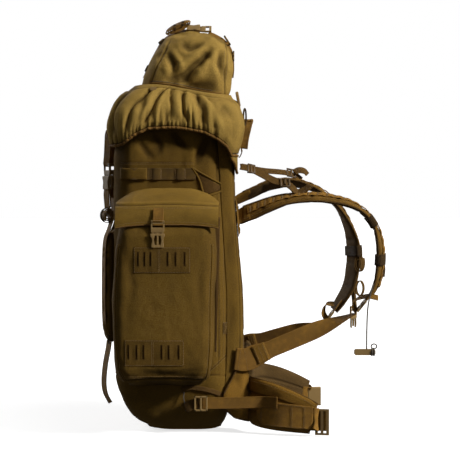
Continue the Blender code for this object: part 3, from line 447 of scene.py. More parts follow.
def web_section(width, thick):
    """Webbing across its length: thin and flat with thicker woven edges."""
    w, t = width / 2, thick / 2
    half = [(-w, 0.0), (-w + t * 0.35, -t * 0.95), (-w + t * 1.3, -t * 1.12), (-w + t * 2.4, -t * 0.86),
            (-w * 0.45, -t * 0.92), (0.0, -t * 0.92), (w * 0.45, -t * 0.92), (w - t * 2.4, -t * 0.86),
            (w - t * 1.3, -t * 1.12), (w - t * 0.35, -t * 0.95), (w, 0.0)]
    other = [(-a, -b) for a, b in half[1:-1]]
    return np.array(half + other)


def webbing(geo, points, sides, width=0.025, thick=0.0018, step=0.004, smooth=True, widths=None):
    pts = np.asarray(points, float)
    sides = np.asarray(sides, float)
    if sides.ndim == 1:
        sides = np.tile(sides, (len(pts), 1))
    packed = np.hstack([pts, sides])
    if widths is not None:
        packed = np.hstack([packed, np.array(widths, float)[:, None]])
    packed = spline(packed, step) if smooth else resample(packed, step)
    wide = packed[:, 6] if widths is not None else np.full(len(packed), width)
    ref = web_section(width, thick)
    sections = np.tile(ref, (len(packed), 1, 1))
    sections[:, :, 0] *= (wide / width)[:, None]
    sweep(geo, packed[:, :3], packed[:, 3:6], sections)
    return packed


def tube(geo, points, radius, sides=10, up=(0.31, 0.42, 0.85), closed=False):
    points = np.asarray(points, float)
    if closed:
        points = np.vstack([points, points[:1]])
    sweep(geo, points, up, round_section(radius, sides))


def stitches(geo, points, norms, pitch=0.0034, length=0.0025, radius=0.00042, lift=0.0002):
    """Short threads along a line on a surface."""
    points, norms = np.asarray(points, float), np.asarray(norms, float)
    packed = resample(np.hstack([points, norms]), pitch / 2)
    mids = packed[::2]
    if len(mids) < 2:
        return
    ahead = unit(np.gradient(mids[:, :3], axis=0))
    up = unit(mids[:, 3:])
    up = unit(up - ahead * (up * ahead).sum(1, keepdims=True))
    side = np.cross(ahead, up)
    ring = [(-0.5, 0.0), (-0.36, 0.85), (0.0, 1.0), (0.36, 0.85), (0.5, 0.0)]
    base = []
    for a, s in ring:
        if s == 0.0:
            base.append((a, 0.0, -0.2))
        else:
            for k in range(5):
                angle = 2 * math.pi * k / 5
                base.append((a, math.cos(angle) * s, math.sin(angle) * s))
    base = np.array(base)
    faces = [[0, 1 + (k + 1) % 5, 1 + k] for k in range(5)]
    for level in (0, 1):
        for k in range(5):
            a, b = 1 + level * 5 + k, 1 + level * 5 + (k + 1) % 5
            faces.append([a, b, b + 5, a + 5])
    faces += [[16, 11 + k, 11 + (k + 1) % 5] for k in range(5)]
    for m, a, u, s in zip(mids[:, :3], ahead, up, side):
        centre = m + u * lift
        verts = centre + a * base[:, :1] * length + s * base[:, 1:2] * radius + u * base[:, 2:3] * radius
        geo.add(verts, faces, np.zeros((sum(len(f) for f in faces), 2)))


def box_plate(geo, outline, origin, u, v, low, high, bevel=0.0006):
    """An outline in (u, v) with thickness along u x v and a small bevel round both faces."""
    o, u, v = np.array(origin, float), unit(np.array(u, float)), unit(np.array(v, float))
    w = np.cross(u, v)
    flat = np.array(outline, float)
    area = 0.5 * np.sum(flat[:, 0] * np.roll(flat[:, 1], -1) - np.roll(flat[:, 0], -1) * flat[:, 1])
    if area < 0:
        flat = flat[::-1]
    before, after = unit(flat - np.roll(flat, 1, 0)), unit(np.roll(flat, -1, 0) - flat)
    out = np.stack([before[:, 1] + after[:, 1], -before[:, 0] - after[:, 0]], 1)
    size = np.maximum((out * np.stack([before[:, 1], -before[:, 0]], 1)).sum(1, keepdims=True), 0.35)
    small = flat - out / size * bevel
    rings = []
    for ring, level in ((small, low), (flat, low + bevel), (flat, high - bevel), (small, high)):
        rings.append(o + u * ring[:, :1] + v * ring[:, 1:] + w * level)
    grid = np.array(rings)
    count = len(flat)
    quads, r, c = grid_faces(4, count, True)
    uu = np.concatenate([[0], np.cumsum(np.linalg.norm(np.roll(flat, -1, 0) - flat, axis=1))])
    vv = np.array([0, bevel, high - low - bevel, high - low])
    faces, uvs = quads.tolist(), [corner_uvs(uu, vv, r, c)]
    faces += [list(range(count))[::-1], [3 * count + i for i in range(count)]]
    uvs += [small[::-1], small]
    geo.add(grid.reshape(-1, 3), faces, np.vstack(uvs))


# ---------------------------------------------------------------- camera, light, floor
scene = bpy.context.scene


def aim(obj, target):
    direction = Vector(target) - obj.location
    obj.rotation_euler = direction.to_track_quat("-Z", "Y").to_euler()


def add_camera():
    data = bpy.data.cameras.new("camera")
    data.lens, data.sensor_width = 139.2, 36.0
    cam = bpy.data.objects.new("camera", data)
    cam.location = (0.110, -4.0, 0.591)
    aim(cam, (0.110, 0.0, 0.436))
    scene.collection.objects.link(cam)
    scene.camera = cam


# name, direction towards the lamp, strength, softness in degrees, colour
SUNS = (
    ("key", (1.0, -0.44, 0.62), 3.9, 10.0, (1.0, 0.985, 0.96)),
    ("top", (0.60, -0.30, 1.0), 0.7, 40.0),
    ("fill", (-0.75, 0.90, 0.45), 1.8, 40.0),
)
AMBIENT = 0.10
BACKDROP = 1.0


def add_sun(name, toward, strength, spread, colour=(1.0, 1.0, 1.0)):
    data = bpy.data.lights.new(name, "SUN")
    data.energy, data.angle, data.color = strength, math.radians(spread), colour
    lamp = bpy.data.objects.new(name, data)
    lamp.location = Vector(toward) * 3.0
    aim(lamp, (0.0, 0.0, 0.0))
    scene.collection.objects.link(lamp)


def add_world():
    world = bpy.data.worlds.new("studio")
    world.use_nodes = True
    tree = world.node_tree
    tree.nodes.clear()
    soft = tree.nodes.new("ShaderNodeBackground")
    soft.inputs["Color"].default_value = (1.0, 1.0, 1.0, 1.0)
    soft.inputs["Strength"].default_value = AMBIENT
    seen = tree.nodes.new("ShaderNodeBackground")
    seen.inputs["Color"].default_value = (1.0, 1.0, 1.0, 1.0)
    seen.inputs["Strength"].default_value = BACKDROP
    rays = tree.nodes.new("ShaderNodeLightPath")
    mixed = tree.nodes.new("ShaderNodeMixShader")
    out = tree.nodes.new("ShaderNodeOutputWorld")
    tree.links.new(rays.outputs["Is Camera Ray"], mixed.inputs[0])
    tree.links.new(soft.outputs[0], mixed.inputs[1])
    tree.links.new(seen.outputs[0], mixed.inputs[2])
    tree.links.new(mixed.outputs[0], out.inputs["Surface"])
    scene.world = world


def add_floor():
    count = 24
    line = np.linspace(-14.0, 14.0, count)
    x, y = np.meshgrid(line, line)
    verts = np.stack([x, y, np.full_like(x, -0.0006)], -1).reshape(-1, 3)
    quads, _, _ = grid_faces(count, count, False)
    mesh = bpy.data.meshes.new("floor")
    mesh.from_pydata(verts.tolist(), [], quads.tolist())
    net = Net("floor")
    spot = net.add("ShaderNodeTexNoise", {"Scale": 3.0, "Detail": 2.0}, noise_dimensions="3D")
    colour = net.mix(net.ramp(spot.outputs[0], 0.3, 0.7), (0.60, 0.60, 0.60, 1.0), (0.62, 0.62, 0.62, 1.0))
    net.set({"Base Color": colour, "Roughness": 0.75, "Emission Color": (1.0, 1.0, 1.0, 1.0),
             "Emission Strength": 0.74})
    mesh.materials.append(net.mat)
    floor = bpy.data.objects.new("floor", mesh)
    scene.collection.objects.link(floor)
    floor.visible_diffuse = False
    floor.visible_glossy = False


# ---------------------------------------------------------------- materials
class Net:
    """A material's nodes."""

    def __init__(self, name):
        self.mat = bpy.data.materials.new(name)
        self.mat.use_nodes = True
        self.tree = self.mat.node_tree
        self.shader = self.tree.nodes["Principled BSDF"]

    def add(self, kind, inputs=None, **props):
        node = self.tree.nodes.new(kind)
        for key, value in props.items():
            setattr(node, key, value)
        for key, value in (inputs or {}).items():
            self.feed(node.inputs[key], value)
        return node

    def feed(self, socket, value):
        if isinstance(value, bpy.types.NodeSocket):
            self.tree.links.new(value, socket)
        else:
            socket.default_value = value

    def set(self, inputs):
        for key, value in inputs.items():
            self.feed(self.shader.inputs[key], value)

    def math(self, operation, a, b=None, c=None, clamp=False):
        node = self.add("ShaderNodeMath", operation=operation, use_clamp=clamp)
        for socket, value in zip(node.inputs, (a, b, c)):
            if value is not None:
                self.feed(socket, value)
        return node.outputs[0]

    def mix(self, factor, a, b, blend="MIX"):
        node = self.add("ShaderNodeMix", data_type="RGBA", blend_type=blend)
        self.feed(node.inputs[0], factor)
        self.feed(node.inputs[6], a)
        self.feed(node.inputs[7], b)
        return node.outputs[2]

    def ramp(self, value, low, high, to_low=0.0, to_high=1.0):
        node = self.add("ShaderNodeMapRange", {"Value": value, "From Min": low, "From Max": high,
                                               "To Min": to_low, "To Max": to_high})
        return node.outputs[0]

    def place(self):
        return self.add("ShaderNodeTexCoord").outputs["Object"]

    def cloud(self, scale, detail=2.0, rough=0.5):
        node = self.add("ShaderNodeTexNoise", {"Vector": self.place(), "Scale": scale, "Detail": detail,
                                               "Roughness": rough}, noise_dimensions="3D")
        return node.outputs[0]

    def weave_axes(self, across, along):
        uv = self.add("ShaderNodeSeparateXYZ", {0: self.add("ShaderNodeUVMap", uv_map="UVMap").outputs[0]})
        return (self.math("DIVIDE", uv.outputs[0], across), self.math("DIVIDE", uv.outputs[1], along))

    def wave(self, value, shift=0.0):
        return self.math("SINE", self.math("MULTIPLY_ADD", value, 2.0 * math.pi, shift))

    def fold(self):
        return self.add("ShaderNodeAttribute", attribute_name="fold").outputs["Fac"]

    def bumps(self, *pairs):
        normal = None
        for height, distance in pairs:
            inputs = {"Height": height, "Distance": distance, "Strength": 1.0}
            if normal is not None:
                inputs["Normal"] = normal
            normal = self.add("ShaderNodeBump", inputs).outputs[0]
        self.set({"Normal": normal})


def tint(colour, factor, warm=1.0):
    r, g, b = colour
    return (min(r * factor * warm, 1.0), min(g * factor, 1.0), min(b * factor / warm, 1.0), 1.0)


def fabric(name, colour, pitch=0.0012, sheen=0.08, rough=0.86, contrast=1.0, puckers=1.0):
    """Plain-woven nylon: checkered yarns, slubs, fuzz, a painted highlight on ridges and painted shade in folds."""
    net = Net(name)
    u, v = net.weave_axes(pitch, pitch)
    yarn = net.math("MULTIPLY", net.wave(u), net.wave(v))
    slub = net.add("ShaderNodeTexNoise", {"Vector": net.add("ShaderNodeUVMap", uv_map="UVMap").outputs[0],
                                          "Scale": 0.45 / pitch, "Detail": 2.0},
                                          noise_dimensions="2D").outputs[0]
    broad, middle = net.cloud(7.0, 3.0), net.cloud(38.0, 3.0, 0.6)
    base = net.mix(net.ramp(broad, 0.32, 0.70), tint(colour, 0.84, 0.985), tint(colour, 1.14, 1.01))
    base = net.mix(net.ramp(middle, 0.30, 0.72), base, tint(colour, 1.12), "MIX")
    fold = net.fold()
    # painted highlight on ridges where the fold value is above nought, and painted shade in folds, creases and
    # shaded places where it is below
    base = net.mix(net.ramp(fold, 0.0, 1.0, 0.0, 0.42 * contrast), base, tint(colour, 1.75, 0.97))
    base = net.mix(net.ramp(fold, 0.0, -1.0, 0.0, 0.85 * contrast), base, tint(colour, 0.30, 1.06))
    speck = net.math("MULTIPLY_ADD", yarn, 0.10, net.ramp(slub, 0.25, 0.75, -0.16, 0.20))
    shade = net.math("ADD", speck, 1.0)
    grey = net.add("ShaderNodeCombineColor", {0: shade, 1: shade, 2: shade}).outputs[0]
    base = net.mix(1.0, base, grey, "MULTIPLY")
    net.set({"Base Color": base, "Roughness": net.ramp(middle, 0.3, 0.7, rough - 0.07, rough + 0.06),
             "Sheen Weight": sheen, "Sheen Roughness": 0.45, "Sheen Tint": tint(colour, 2.4, 1.08),
             "Specular IOR Level": 0.11})
    net.bumps((middle, 0.0016 * puckers), (slub, 0.00030), (yarn, 0.00016))
    return net.mat


def web_finish(name, colour, rib=0.0021, rough=0.74, sheen=0.06):
    """Nylon webbing: herringbone ribs across, a firmer edge and faint wear."""
    net = Net(name)
    u, v = net.weave_axes(0.0048, rib)
    point = net.math("PINGPONG", u, 0.5)
    ribs = net.wave(net.math("MULTIPLY_ADD", point, 1.3, v))
    fine, _ = net.weave_axes(0.0008, rib)
    strands = net.wave(fine)
    broad, middle = net.cloud(11.0, 3.0), net.cloud(90.0, 2.0)
    base = net.mix(net.ramp(broad, 0.3, 0.7), tint(colour, 0.82), tint(colour, 1.18))
    base = net.mix(net.ramp(ribs, -1.0, 1.0, 0.0, 0.55), tint(colour, 0.62, 1.02), base)
    base = net.mix(net.ramp(middle, 0.45, 0.75, 0.0, 0.35), base, tint(colour, 1.5, 0.98))
    fold = net.fold()
    # painted shade: darker where the fold value is below nought
    base = net.mix(net.ramp(fold, 0.0, -1.0, 0.0, 0.6), base, tint(colour, 0.4))
    net.set({"Base Color": base, "Roughness": net.ramp(middle, 0.3, 0.7, rough - 0.08, rough + 0.08),
             "Sheen Weight": sheen, "Sheen Roughness": 0.4, "Sheen Tint": tint(colour, 2.4, 1.08),
             "Specular IOR Level": 0.2})
    net.bumps((ribs, 0.00034), (strands, 0.00010), (middle, 0.0003))
    return net.mat


def mesh_finish(name, colour, pitch=0.0034):
    """Spacer mesh: rows of small round openings in a knitted face."""
    net = Net(name)
    u, v = net.weave_axes(pitch, pitch * 1.5)
    holes = net.math("MULTIPLY", net.wave(u), net.wave(v))
    open_ = net.ramp(holes, 0.15, 0.75)
    broad, middle = net.cloud(12.0, 2.0), net.cloud(160.0, 2.0)
    base = net.mix(net.ramp(broad, 0.3, 0.7), tint(colour, 0.85), tint(colour, 1.15))
    base = net.mix(net.ramp(middle, 0.3, 0.7, 0.0, 0.5), base, tint(colour, 1.35))
    base = net.mix(open_, base, tint(colour, 0.22))
    fold = net.fold()
    # painted shade: darker where the fold value is below nought
    base = net.mix(net.ramp(fold, 0.0, -1.0, 0.0, 0.6), base, tint(colour, 0.35))
    net.set({"Base Color": base, "Roughness": net.ramp(middle, 0.3, 0.7, 0.82, 0.95),
             "Sheen Weight": 0.12, "Sheen Roughness": 0.5, "Sheen Tint": tint(colour, 3.0),
             "Specular IOR Level": 0.2})
    net.bumps((net.math("MULTIPLY", open_, -1.0), 0.0009), (middle, 0.0003))
    return net.mat


def plastic(name, colour, rough=0.42, grain=520.0):
    """Moulded nylon: fine spark texture, a painted highlight on the raised edges."""
    net = Net(name)
    fine, broad = net.cloud(grain, 2.0), net.cloud(22.0, 3.0)
    base = net.mix(net.ramp(broad, 0.3, 0.7), tint(colour, 0.86), tint(colour, 1.15))
    # painted highlight: the colour is lighter on sharp raised edges, found from pointiness
    edge = net.add("ShaderNodeNewGeometry").outputs["Pointiness"]
    base = net.mix(net.ramp(edge, 0.52, 0.60, 0.0, 0.5), base, tint(colour, 1.9, 0.98))
    net.set({"Base Color": base, "Roughness": net.ramp(broad, 0.3, 0.7, rough - 0.06, rough + 0.10),
             "Specular IOR Level": 0.5})
    net.bumps((fine, 0.00012), (broad, 0.0002))
    return net.mat


def metal(name, colour, rough):
    net = Net(name)
    fine, broad = net.cloud(700.0, 2.0), net.cloud(40.0, 3.0)
    base = net.mix(net.ramp(broad, 0.3, 0.7), tint(colour, 0.85), tint(colour, 1.1))
    net.set({"Base Color": base, "Metallic": 0.9,
             "Roughness": net.ramp(broad, 0.3, 0.7, rough - 0.06, rough + 0.12)})
    net.bumps((fine, 0.00005), (broad, 0.0001))
    return net.mat


def thread(name, colour):
    net = Net(name)
    twist = net.add("ShaderNodeTexWave", {"Vector": net.place(), "Scale": 900.0, "Distortion": 1.5},
                    wave_type="BANDS", bands_direction="DIAGONAL").outputs[1]
    broad = net.cloud(60.0, 2.0)
    base = net.mix(net.ramp(twist, 0.0, 1.0, 0.0, 1.0), tint(colour, 0.65), tint(colour, 1.2))
    base = net.mix(net.ramp(broad, 0.3, 0.7, 0.0, 0.4), base, tint(colour, 1.5))
    net.set({"Base Color": base, "Roughness": net.ramp(broad, 0.3, 0.7, 0.55, 0.75), "Sheen Weight": 0.15})
    net.bumps((twist, 0.0001))
    return net.mat


def braid(name, colour):
    """Round braided cord: two sets of strands wound opposite ways."""
    net = Net(name)
    u, v = net.weave_axes(0.0024, 0.0026)
    one = net.wave(net.math("ADD", u, v))
    two = net.wave(net.math("SUBTRACT", u, v))
    woven = net.math("MAXIMUM", one, two)
    broad = net.cloud(40.0, 2.0)
    base = net.mix(net.ramp(woven, -0.5, 1.0), tint(colour, 0.45), tint(colour, 1.25))
    base = net.mix(net.ramp(broad, 0.3, 0.7, 0.0, 0.4), base, tint(colour, 1.5))
    net.set({"Base Color": base, "Roughness": net.ramp(broad, 0.3, 0.7, 0.6, 0.8), "Sheen Weight": 0.2})
    net.bumps((woven, 0.0003))
    return net.mat


LID = fabric("lid_cloth", (0.262, 0.164, 0.037))
BAG_CLOTH = fabric("bag_cloth", (0.128, 0.071, 0.0110))
POCKET_CLOTH = fabric("pocket_cloth", (0.112, 0.062, 0.0098))
# painted light: the flap cloth is a lighter copy of the pocket cloth, standing in for the light on the flap's
# upturned top
FLAP_PAINTED_LIGHT_CLOTH = fabric("flap_painted_light_cloth", (0.170, 0.098, 0.0165))
# the boot cloth has its own warmer tone and is also made lighter to stand in for light on the shaded foot of the bag
BOOT_CLOTH = fabric("boot_cloth", (0.300, 0.150, 0.017), pitch=0.0015)
LAMINATE_CLOTH = fabric("laminate_cloth", (0.108, 0.059, 0.0092), rough=0.7, puckers=0.4)
# dark cloth for the bag's lining, also laid as painted shade: in the gusset opening, in the pocket slots and as a
# strip standing in for the shadow behind each side pocket
LINING_AND_PAINTED_SHADE = fabric("lining_and_painted_shade_cloth", (0.085, 0.044, 0.010), sheen=0.1, contrast=0.6)
STRAP_CLOTH = fabric("strap_cloth", (0.165, 0.085, 0.014), puckers=0.8)
BELT_CLOTH = fabric("belt_cloth", (0.200, 0.102, 0.015), puckers=0.8)
BINDING = web_finish("binding_tape", (0.260, 0.132, 0.026), rib=0.0013)
WEB = web_finish("webbing_weave", (0.285, 0.142, 0.021))
ROW_WEB = web_finish("webbing_rows", (0.130, 0.072, 0.012))
# painted light: a lighter copy of the webbing, standing in for light on the wing and shoulder webbing where it lies
# in shade
PAINTED_LIGHT_WEB = web_finish("webbing_painted_light", (0.400, 0.200, 0.029))
DARK_WEB = web_finish("webbing_dark", (0.145, 0.073, 0.012))
ELASTIC = web_finish("elastic_weave", (0.085, 0.046, 0.012), rib=0.0012)
MESH = mesh_finish("spacer_mesh", (0.110, 0.062, 0.017))
PLASTIC = plastic("moulded_nylon", (0.190, 0.118, 0.040))
BLACK_PLASTIC = plastic("dark_nylon", (0.075, 0.045, 0.018))
FRAME_PLASTIC = plastic("frame_sheet_plastic", (0.030, 0.030, 0.030), rough=0.5)
STAY_METAL = metal("stay_aluminium", (0.60, 0.60, 0.61), 0.4)
THREAD = thread("thread", (0.215, 0.122, 0.028))
CORD = braid("cord_braid", (0.085, 0.066, 0.045))
ZIP = plastic("zip_teeth", (0.085, 0.058, 0.024), rough=0.35)


# ---------------------------------------------------------------- main bag
def groove(dist, width, depth, lip=0.35):
    """A sewn seam: a narrow valley with a low lip on each side."""
    return -depth * np.exp(-((dist / width) ** 2)) + depth * lip * np.exp(-(((dist - width * 2.2) / (width * 1.3)) ** 2))


REAR_SEAMS = (0.0842, 0.0992)


def bag_skin():
    heights = np.concatenate([np.linspace(0.0043, 0.10, 34), np.linspace(0.103, 0.69, 184)])
    points = stack(BAG, heights, 0.010, side=58, end=76, arc=22)
    out = normals(points, True)
    x, y, z = points[..., 0], points[..., 1], points[..., 2]
    side = ease(np.abs(y), 0.135, 0.162) * ease(np.abs(out[..., 1]), 0.5, 0.9)
    lift = 0.0016 * layers(points, (0.050, 0.06, 0.075), 1) + 0.0007 * layers(points, (0.014, 0.02, 0.030), 2)
    # slack cloth: long soft folds near the top and sagging ones near the foot
    lift += 0.0034 * noise(points, (0.026, 0.05, 0.12), 3) * ease(z, 0.52, 0.62)
    lift += 0.0022 * noise(points, (0.09, 0.09, 0.020), 4) * bump(z, 0.105, 0.045)
    fold = lift / 0.0045
    for seam in REAR_SEAMS:
        d = np.abs(x - seam - 0.002 * np.sin(z * 9.0))
        g = groove(d, 0.0016, 0.0011) * side * ease(z, 0.10, 0.16)
        lift, fold = lift + g, fold + g / 0.0013
    for line in ([(0.123, 0.1873), (0.0624, 0.1352)], [(-0.1268, 0.5868), (0.03, 0.5868)]):
        d, _ = distance_to(x, z, line)
        g = groove(d, 0.0016, 0.0010) * side
        lift, fold = lift + g, fold + g / 0.0012
    ring = groove(np.abs(z - 0.128 - 0.004 * np.cos(x * 20)), 0.0018, 0.0014)
    lift, fold = lift + ring, fold + ring / 0.0015
    for fold_line, depth, width in (
        ([(0.064, 0.645), (0.040, 0.600), (0.034, 0.575)], 0.0060, 0.008),
        ([(0.082, 0.63), (0.100, 0.47)], 0.0048, 0.009),
        ([(-0.02, 0.66), (0.004, 0.630), (0.03, 0.61)], 0.0055, 0.009),
        ([(-0.09, 0.64), (-0.07, 0.610), (-0.05, 0.592)], 0.0045, 0.008),
        ([(-0.055, 0.655), (-0.040, 0.625), (-0.045, 0.600)], 0.0040, 0.007),
    ):
        d, t = distance_to(x, z, fold_line)
        g = -depth * np.exp(-((d / width) ** 2)) * np.sin(np.pi * np.clip(t, 0.02, 1)) * side
        lift, fold = lift + g, fold + g / 0.004
    points = points + out * lift[..., None]
    geo = Geo()
    rows, cols = points.shape[:2]
    u, v = lengths_of(points, True)
    quads, r, c = grid_faces(rows, cols, True)
    faces, uvs = quads.tolist(), [corner_uvs(u, v, r, c)]
    faces.append(list(range(cols))[::-1])
    uvs.append(points[0][::-1, :2])
    geo.add(points.reshape(-1, 3), faces, np.vstack(uvs), fold)
    geo.make("bag_skin", "pack", BAG_CLOTH, ["main_bag"], "pack_fabric")
    surface = Surface(points.reshape(-1, 3), quads.tolist())

    lining = stack(BAG[2:], np.linspace(0.022, 0.6895, 40), 0.01, side=14, end=18, arc=6)
    inner = Geo()
    rows, cols = lining.shape[:2]
    lean = normals(lining, True)
    lining = lining - lean * (0.0085 + 0.0015 * layers(lining, 0.05, 6)[..., None])
    u, v = lengths_of(lining, True)
    quads, r, c = grid_faces(rows, cols, True)
    faces, uvs = quads[:, ::-1].tolist(), [corner_uvs(u, v, r, c).reshape(-1, 4, 2)[:, ::-1].reshape(-1, 2)]
    faces.append(list(range(cols)))
    uvs.append(lining[0][:, :2])
    # painted shade: a fixed fold value of -0.2 darkens the lining inside the bag
    inner.add(lining.reshape(-1, 3), faces, np.vstack(uvs), np.full(lining.shape[:2], -0.2))
    inner.make("bag_lining", "pack", LINING_AND_PAINTED_SHADE)
    top = plan_ring(-0.122, 0.086, 0.148, 0.053, side=30, end=36, arc=10)
    hem = Geo()
    tube(hem, np.column_stack([top, np.full(len(top), 0.6895)]), 0.0032, closed=True)
    hem.make("bag_rim", "pack", BINDING, slot="binding")
    return surface


def base_skin():
    ring = [stack([(0, -0.058, 0.084, 0.098, 0.045), (1, -0.058, 0.084, 0.098, 0.045)], [0.5],
                  side=20, end=24, arc=8)[0]]
    base = ring[0][:, :2]
    middle = base.mean(0)
    rows = []
    for z, grow in ((0.0002, -0.004), (0.0, -0.001), (0.0014, 0.0012), (0.0030, 0.0012), (0.0042, -0.002)):
        away = unit(base - middle)
        rows.append(np.column_stack([base + away * grow, np.full(len(base), z)]))
    grid = np.array(rows)
    u, v = lengths_of(grid, True)
    quads, r, c = grid_faces(len(rows), len(base), True)
    n = len(base)
    faces = quads.tolist() + [list(range(n))[::-1], [4 * n + i for i in range(n)]]
    uvs = np.vstack([corner_uvs(u, v, r, c), grid[0][::-1, :2], grid[-1][:, :2]])
    Geo().add(grid.reshape(-1, 3), faces, uvs).make("base_patch_skin", "pack", BOOT_CLOTH, ["base_patch"],
                                                    "pack_fabric")


def patch_on(geo, surface, corners, direction, across, along, lift=0.0004, thick=0.0012, puff=0.0, fold=0.0):
    """A four-cornered sheet in (x, z) laid on the side of a surface: a sewn-on patch, and also the dark sheets laid
    as painted shade.
    """
    a, b, c, d = [np.array(p, float) for p in corners]
    s, t = np.meshgrid(np.linspace(0, 1, across), np.linspace(0, 1, along))
    s, t = s[..., None], t[..., None]
    flat = (a * (1 - s) + b * s) * (1 - t) + (d * (1 - s) + c * s) * t
    pts = np.stack([flat[..., 0], np.zeros(flat.shape[:2]), flat[..., 1]], -1)
    hit, norm = surface.drop(pts, direction)
    hit, norm = hit.reshape(pts.shape), norm.reshape(pts.shape)
    edge = (np.minimum(np.minimum(s, 1 - s) * across, np.minimum(t, 1 - t) * along)[..., 0])
    dome = ease(edge, 0.0, 3.0)
    points = hit + norm * (lift + thick * (0.55 + 0.45 * ease(edge, 0, 1)) + puff * dome)[..., None]
    if direction[1] < 0:
        points, norm, dome = points[:, ::-1], norm[:, ::-1], dome[:, ::-1]
    shell(geo, points, False, thick * 0.9, fold=np.full(points.shape[:2], fold), lean=norm)
    return points


def stitch_line(geo, surface, line, direction, step=0.004, **how):
    """Thread along a line of (x, z) points laid on a side."""
    dense = resample(np.array(line, float), step, key=2)
    pts = np.column_stack([dense[:, 0], np.zeros(len(dense)), dense[:, 1]])
    hit, norm = surface.drop(pts, direction)
    stitches(geo, hit, norm, **how)


def side_trim(bag):
    """What is sewn to each side of the bag above the pocket and behind it."""
    threads, webs, cloth, lining_and_shadow = Geo(), Geo(), Geo(), Geo()
    for tag, sign in SIDES:
        d = (0.0, -sign, 0.0)
        # one row of webbing with slack loops, and a patch at its front end
        loops = [(-0.0955, 0.024), (-0.049, 0.019), (0.003, 0.019)]
        line = np.linspace(-0.1246, 0.0360, 90)
        pts, nrm = bag.drop(np.column_stack([line, np.zeros(90), np.full(90, 0.5632)]), d)
        rise = np.full(90, 0.0016)
        for centre, wide in loops:
            rise += 0.0030 * np.clip(1 - ((line - centre) / (wide / 2)) ** 2, 0, 1) ** 0.6
        band = pts + nrm * rise[:, None]
        band[:, 1] = sign * np.minimum(np.abs(band[:, 1]), POCKET_BACK + 0.0058)
        sweep(webs, band, (0.0, 0.0, 1.0), web_section(0.0252, 0.0016))
        for centre, wide in loops:
            for edge in (centre - wide / 2 - 0.001, centre + wide / 2 + 0.001):
                for shift in (-0.0007, 0.0007):
                    z = np.linspace(0.5532, 0.5732, 12)
                    p, n = bag.drop(np.column_stack([np.full(12, edge + shift), np.zeros(12), z]), d)
                    stitches(threads, p + n * 0.0026, n, pitch=0.0016, length=0.0015, radius=0.0005)
        # the patch takes a fixed fold value of -0.1, a little painted shade
        patch_on(cloth, bag, [(-0.1246, 0.5502), (-0.0687, 0.5502), (-0.0687, 0.5761), (-0.1246, 0.5761)], d,
                 20, 9,
                 lift=0.0034, thick=0.0014, puff=0.0006, fold=-0.1)
        for z in (0.5872, 0.5842):
            stitch_line(threads, bag, [(-0.125, z), (0.030, z)], d)
        for seam in REAR_SEAMS:
            for off in (-0.0034, 0.0034):
                stitch_line(threads, bag, [(seam + off, 0.17), (seam + off, 0.30), (seam + off, 0.50)], d)
        for off in (-0.003, 0.003):
            stitch_line(threads, bag, [(0.112, 0.178 + off), (0.0624, 0.1352 + off)], d)
        box = [(0.0949, 0.2177), (0.1070, 0.2177), (0.1070, 0.2415), (0.0949, 0.2415)]
        patch_on(webs, bag, box, d, 8, 12, lift=0.0002, thick=0.0012)
        stitch_line(threads, bag, box + box[:1], d, lift=0.0016)
        stitch_line(threads, bag, [box[0], box[2]], d, lift=0.0016)
        stitch_line(threads, bag, [box[1], box[3]], d, lift=0.0016)
        # gusset that opens over the pocket: dark lining between two rolled edges, darkened further as painted shade
        # inside the opening
        patch_on(lining_and_shadow, bag, [(0.0300, 0.5720), (0.0304, 0.5716), (0.0990, 0.5310), (0.0540, 0.5170)], d, 20,
                 20,
                 lift=0.0002, thick=0.0006, fold=-0.5)
        for line, radius in (([(0.0290, 0.5760), (0.0440, 0.5500), (0.0540, 0.5140)], 0.0024),
                             ([(0.0290, 0.5760), (0.0620, 0.5570), (0.1060, 0.5330)], 0.0022),
                             ([(0.0530, 0.5145), (0.0760, 0.5200), (0.1060, 0.5335)], 0.0018)):
            dense = spline([(a, 0.0, b) for a, b in line], 0.003)
            p, n = bag.drop(dense, d)
            tube(cloth, p + n * 0.0008, radius, 8)
        # painted shadow: a dark strip of lining on the bag stands in for the shade in the crack behind the pocket's
        # rear gusset
        patch_on(lining_and_shadow, bag, [(0.0785, 0.4700), (0.0890, 0.4700), (0.0805, 0.1790), (0.0770, 0.1790)], d, 6,
                 60,
                 lift=0.0, thick=0.0007, fold=-1.4)
        small = [(0.1120, 0.4180), (0.1120, 0.4110)]
        p, n = bag.drop([(a, 0, b) for a, b in small], d)
        loop = spline([p[0], p[0] + n[0] * 0.006, p[1] + n[1] * 0.006, p[1]], 0.0015)
        tube(webs, loop, 0.0014, 8)
    threads.make("bag_stitching", "pack", THREAD)
    webs.make("side_webbing_rows", "pack", ROW_WEB, ["molle_band_R", "molle_band_L"], "webbing")
    cloth.make("side_edge_rolls", "pack", BAG_CLOTH, slot="pack_fabric")
    lining_and_shadow.make("gusset_lining_and_painted_shadow", "pack", LINING_AND_PAINTED_SHADE)


# ---------------------------------------------------------------- lid
def crown_sag(x, z):
    """How far the seam between the lid and its pocket has slumped towards the rear."""
    return 0.022 * ease(x, -0.06, 0.10) * (1 - ease(np.abs(z - 0.757), 0.004, 0.050))


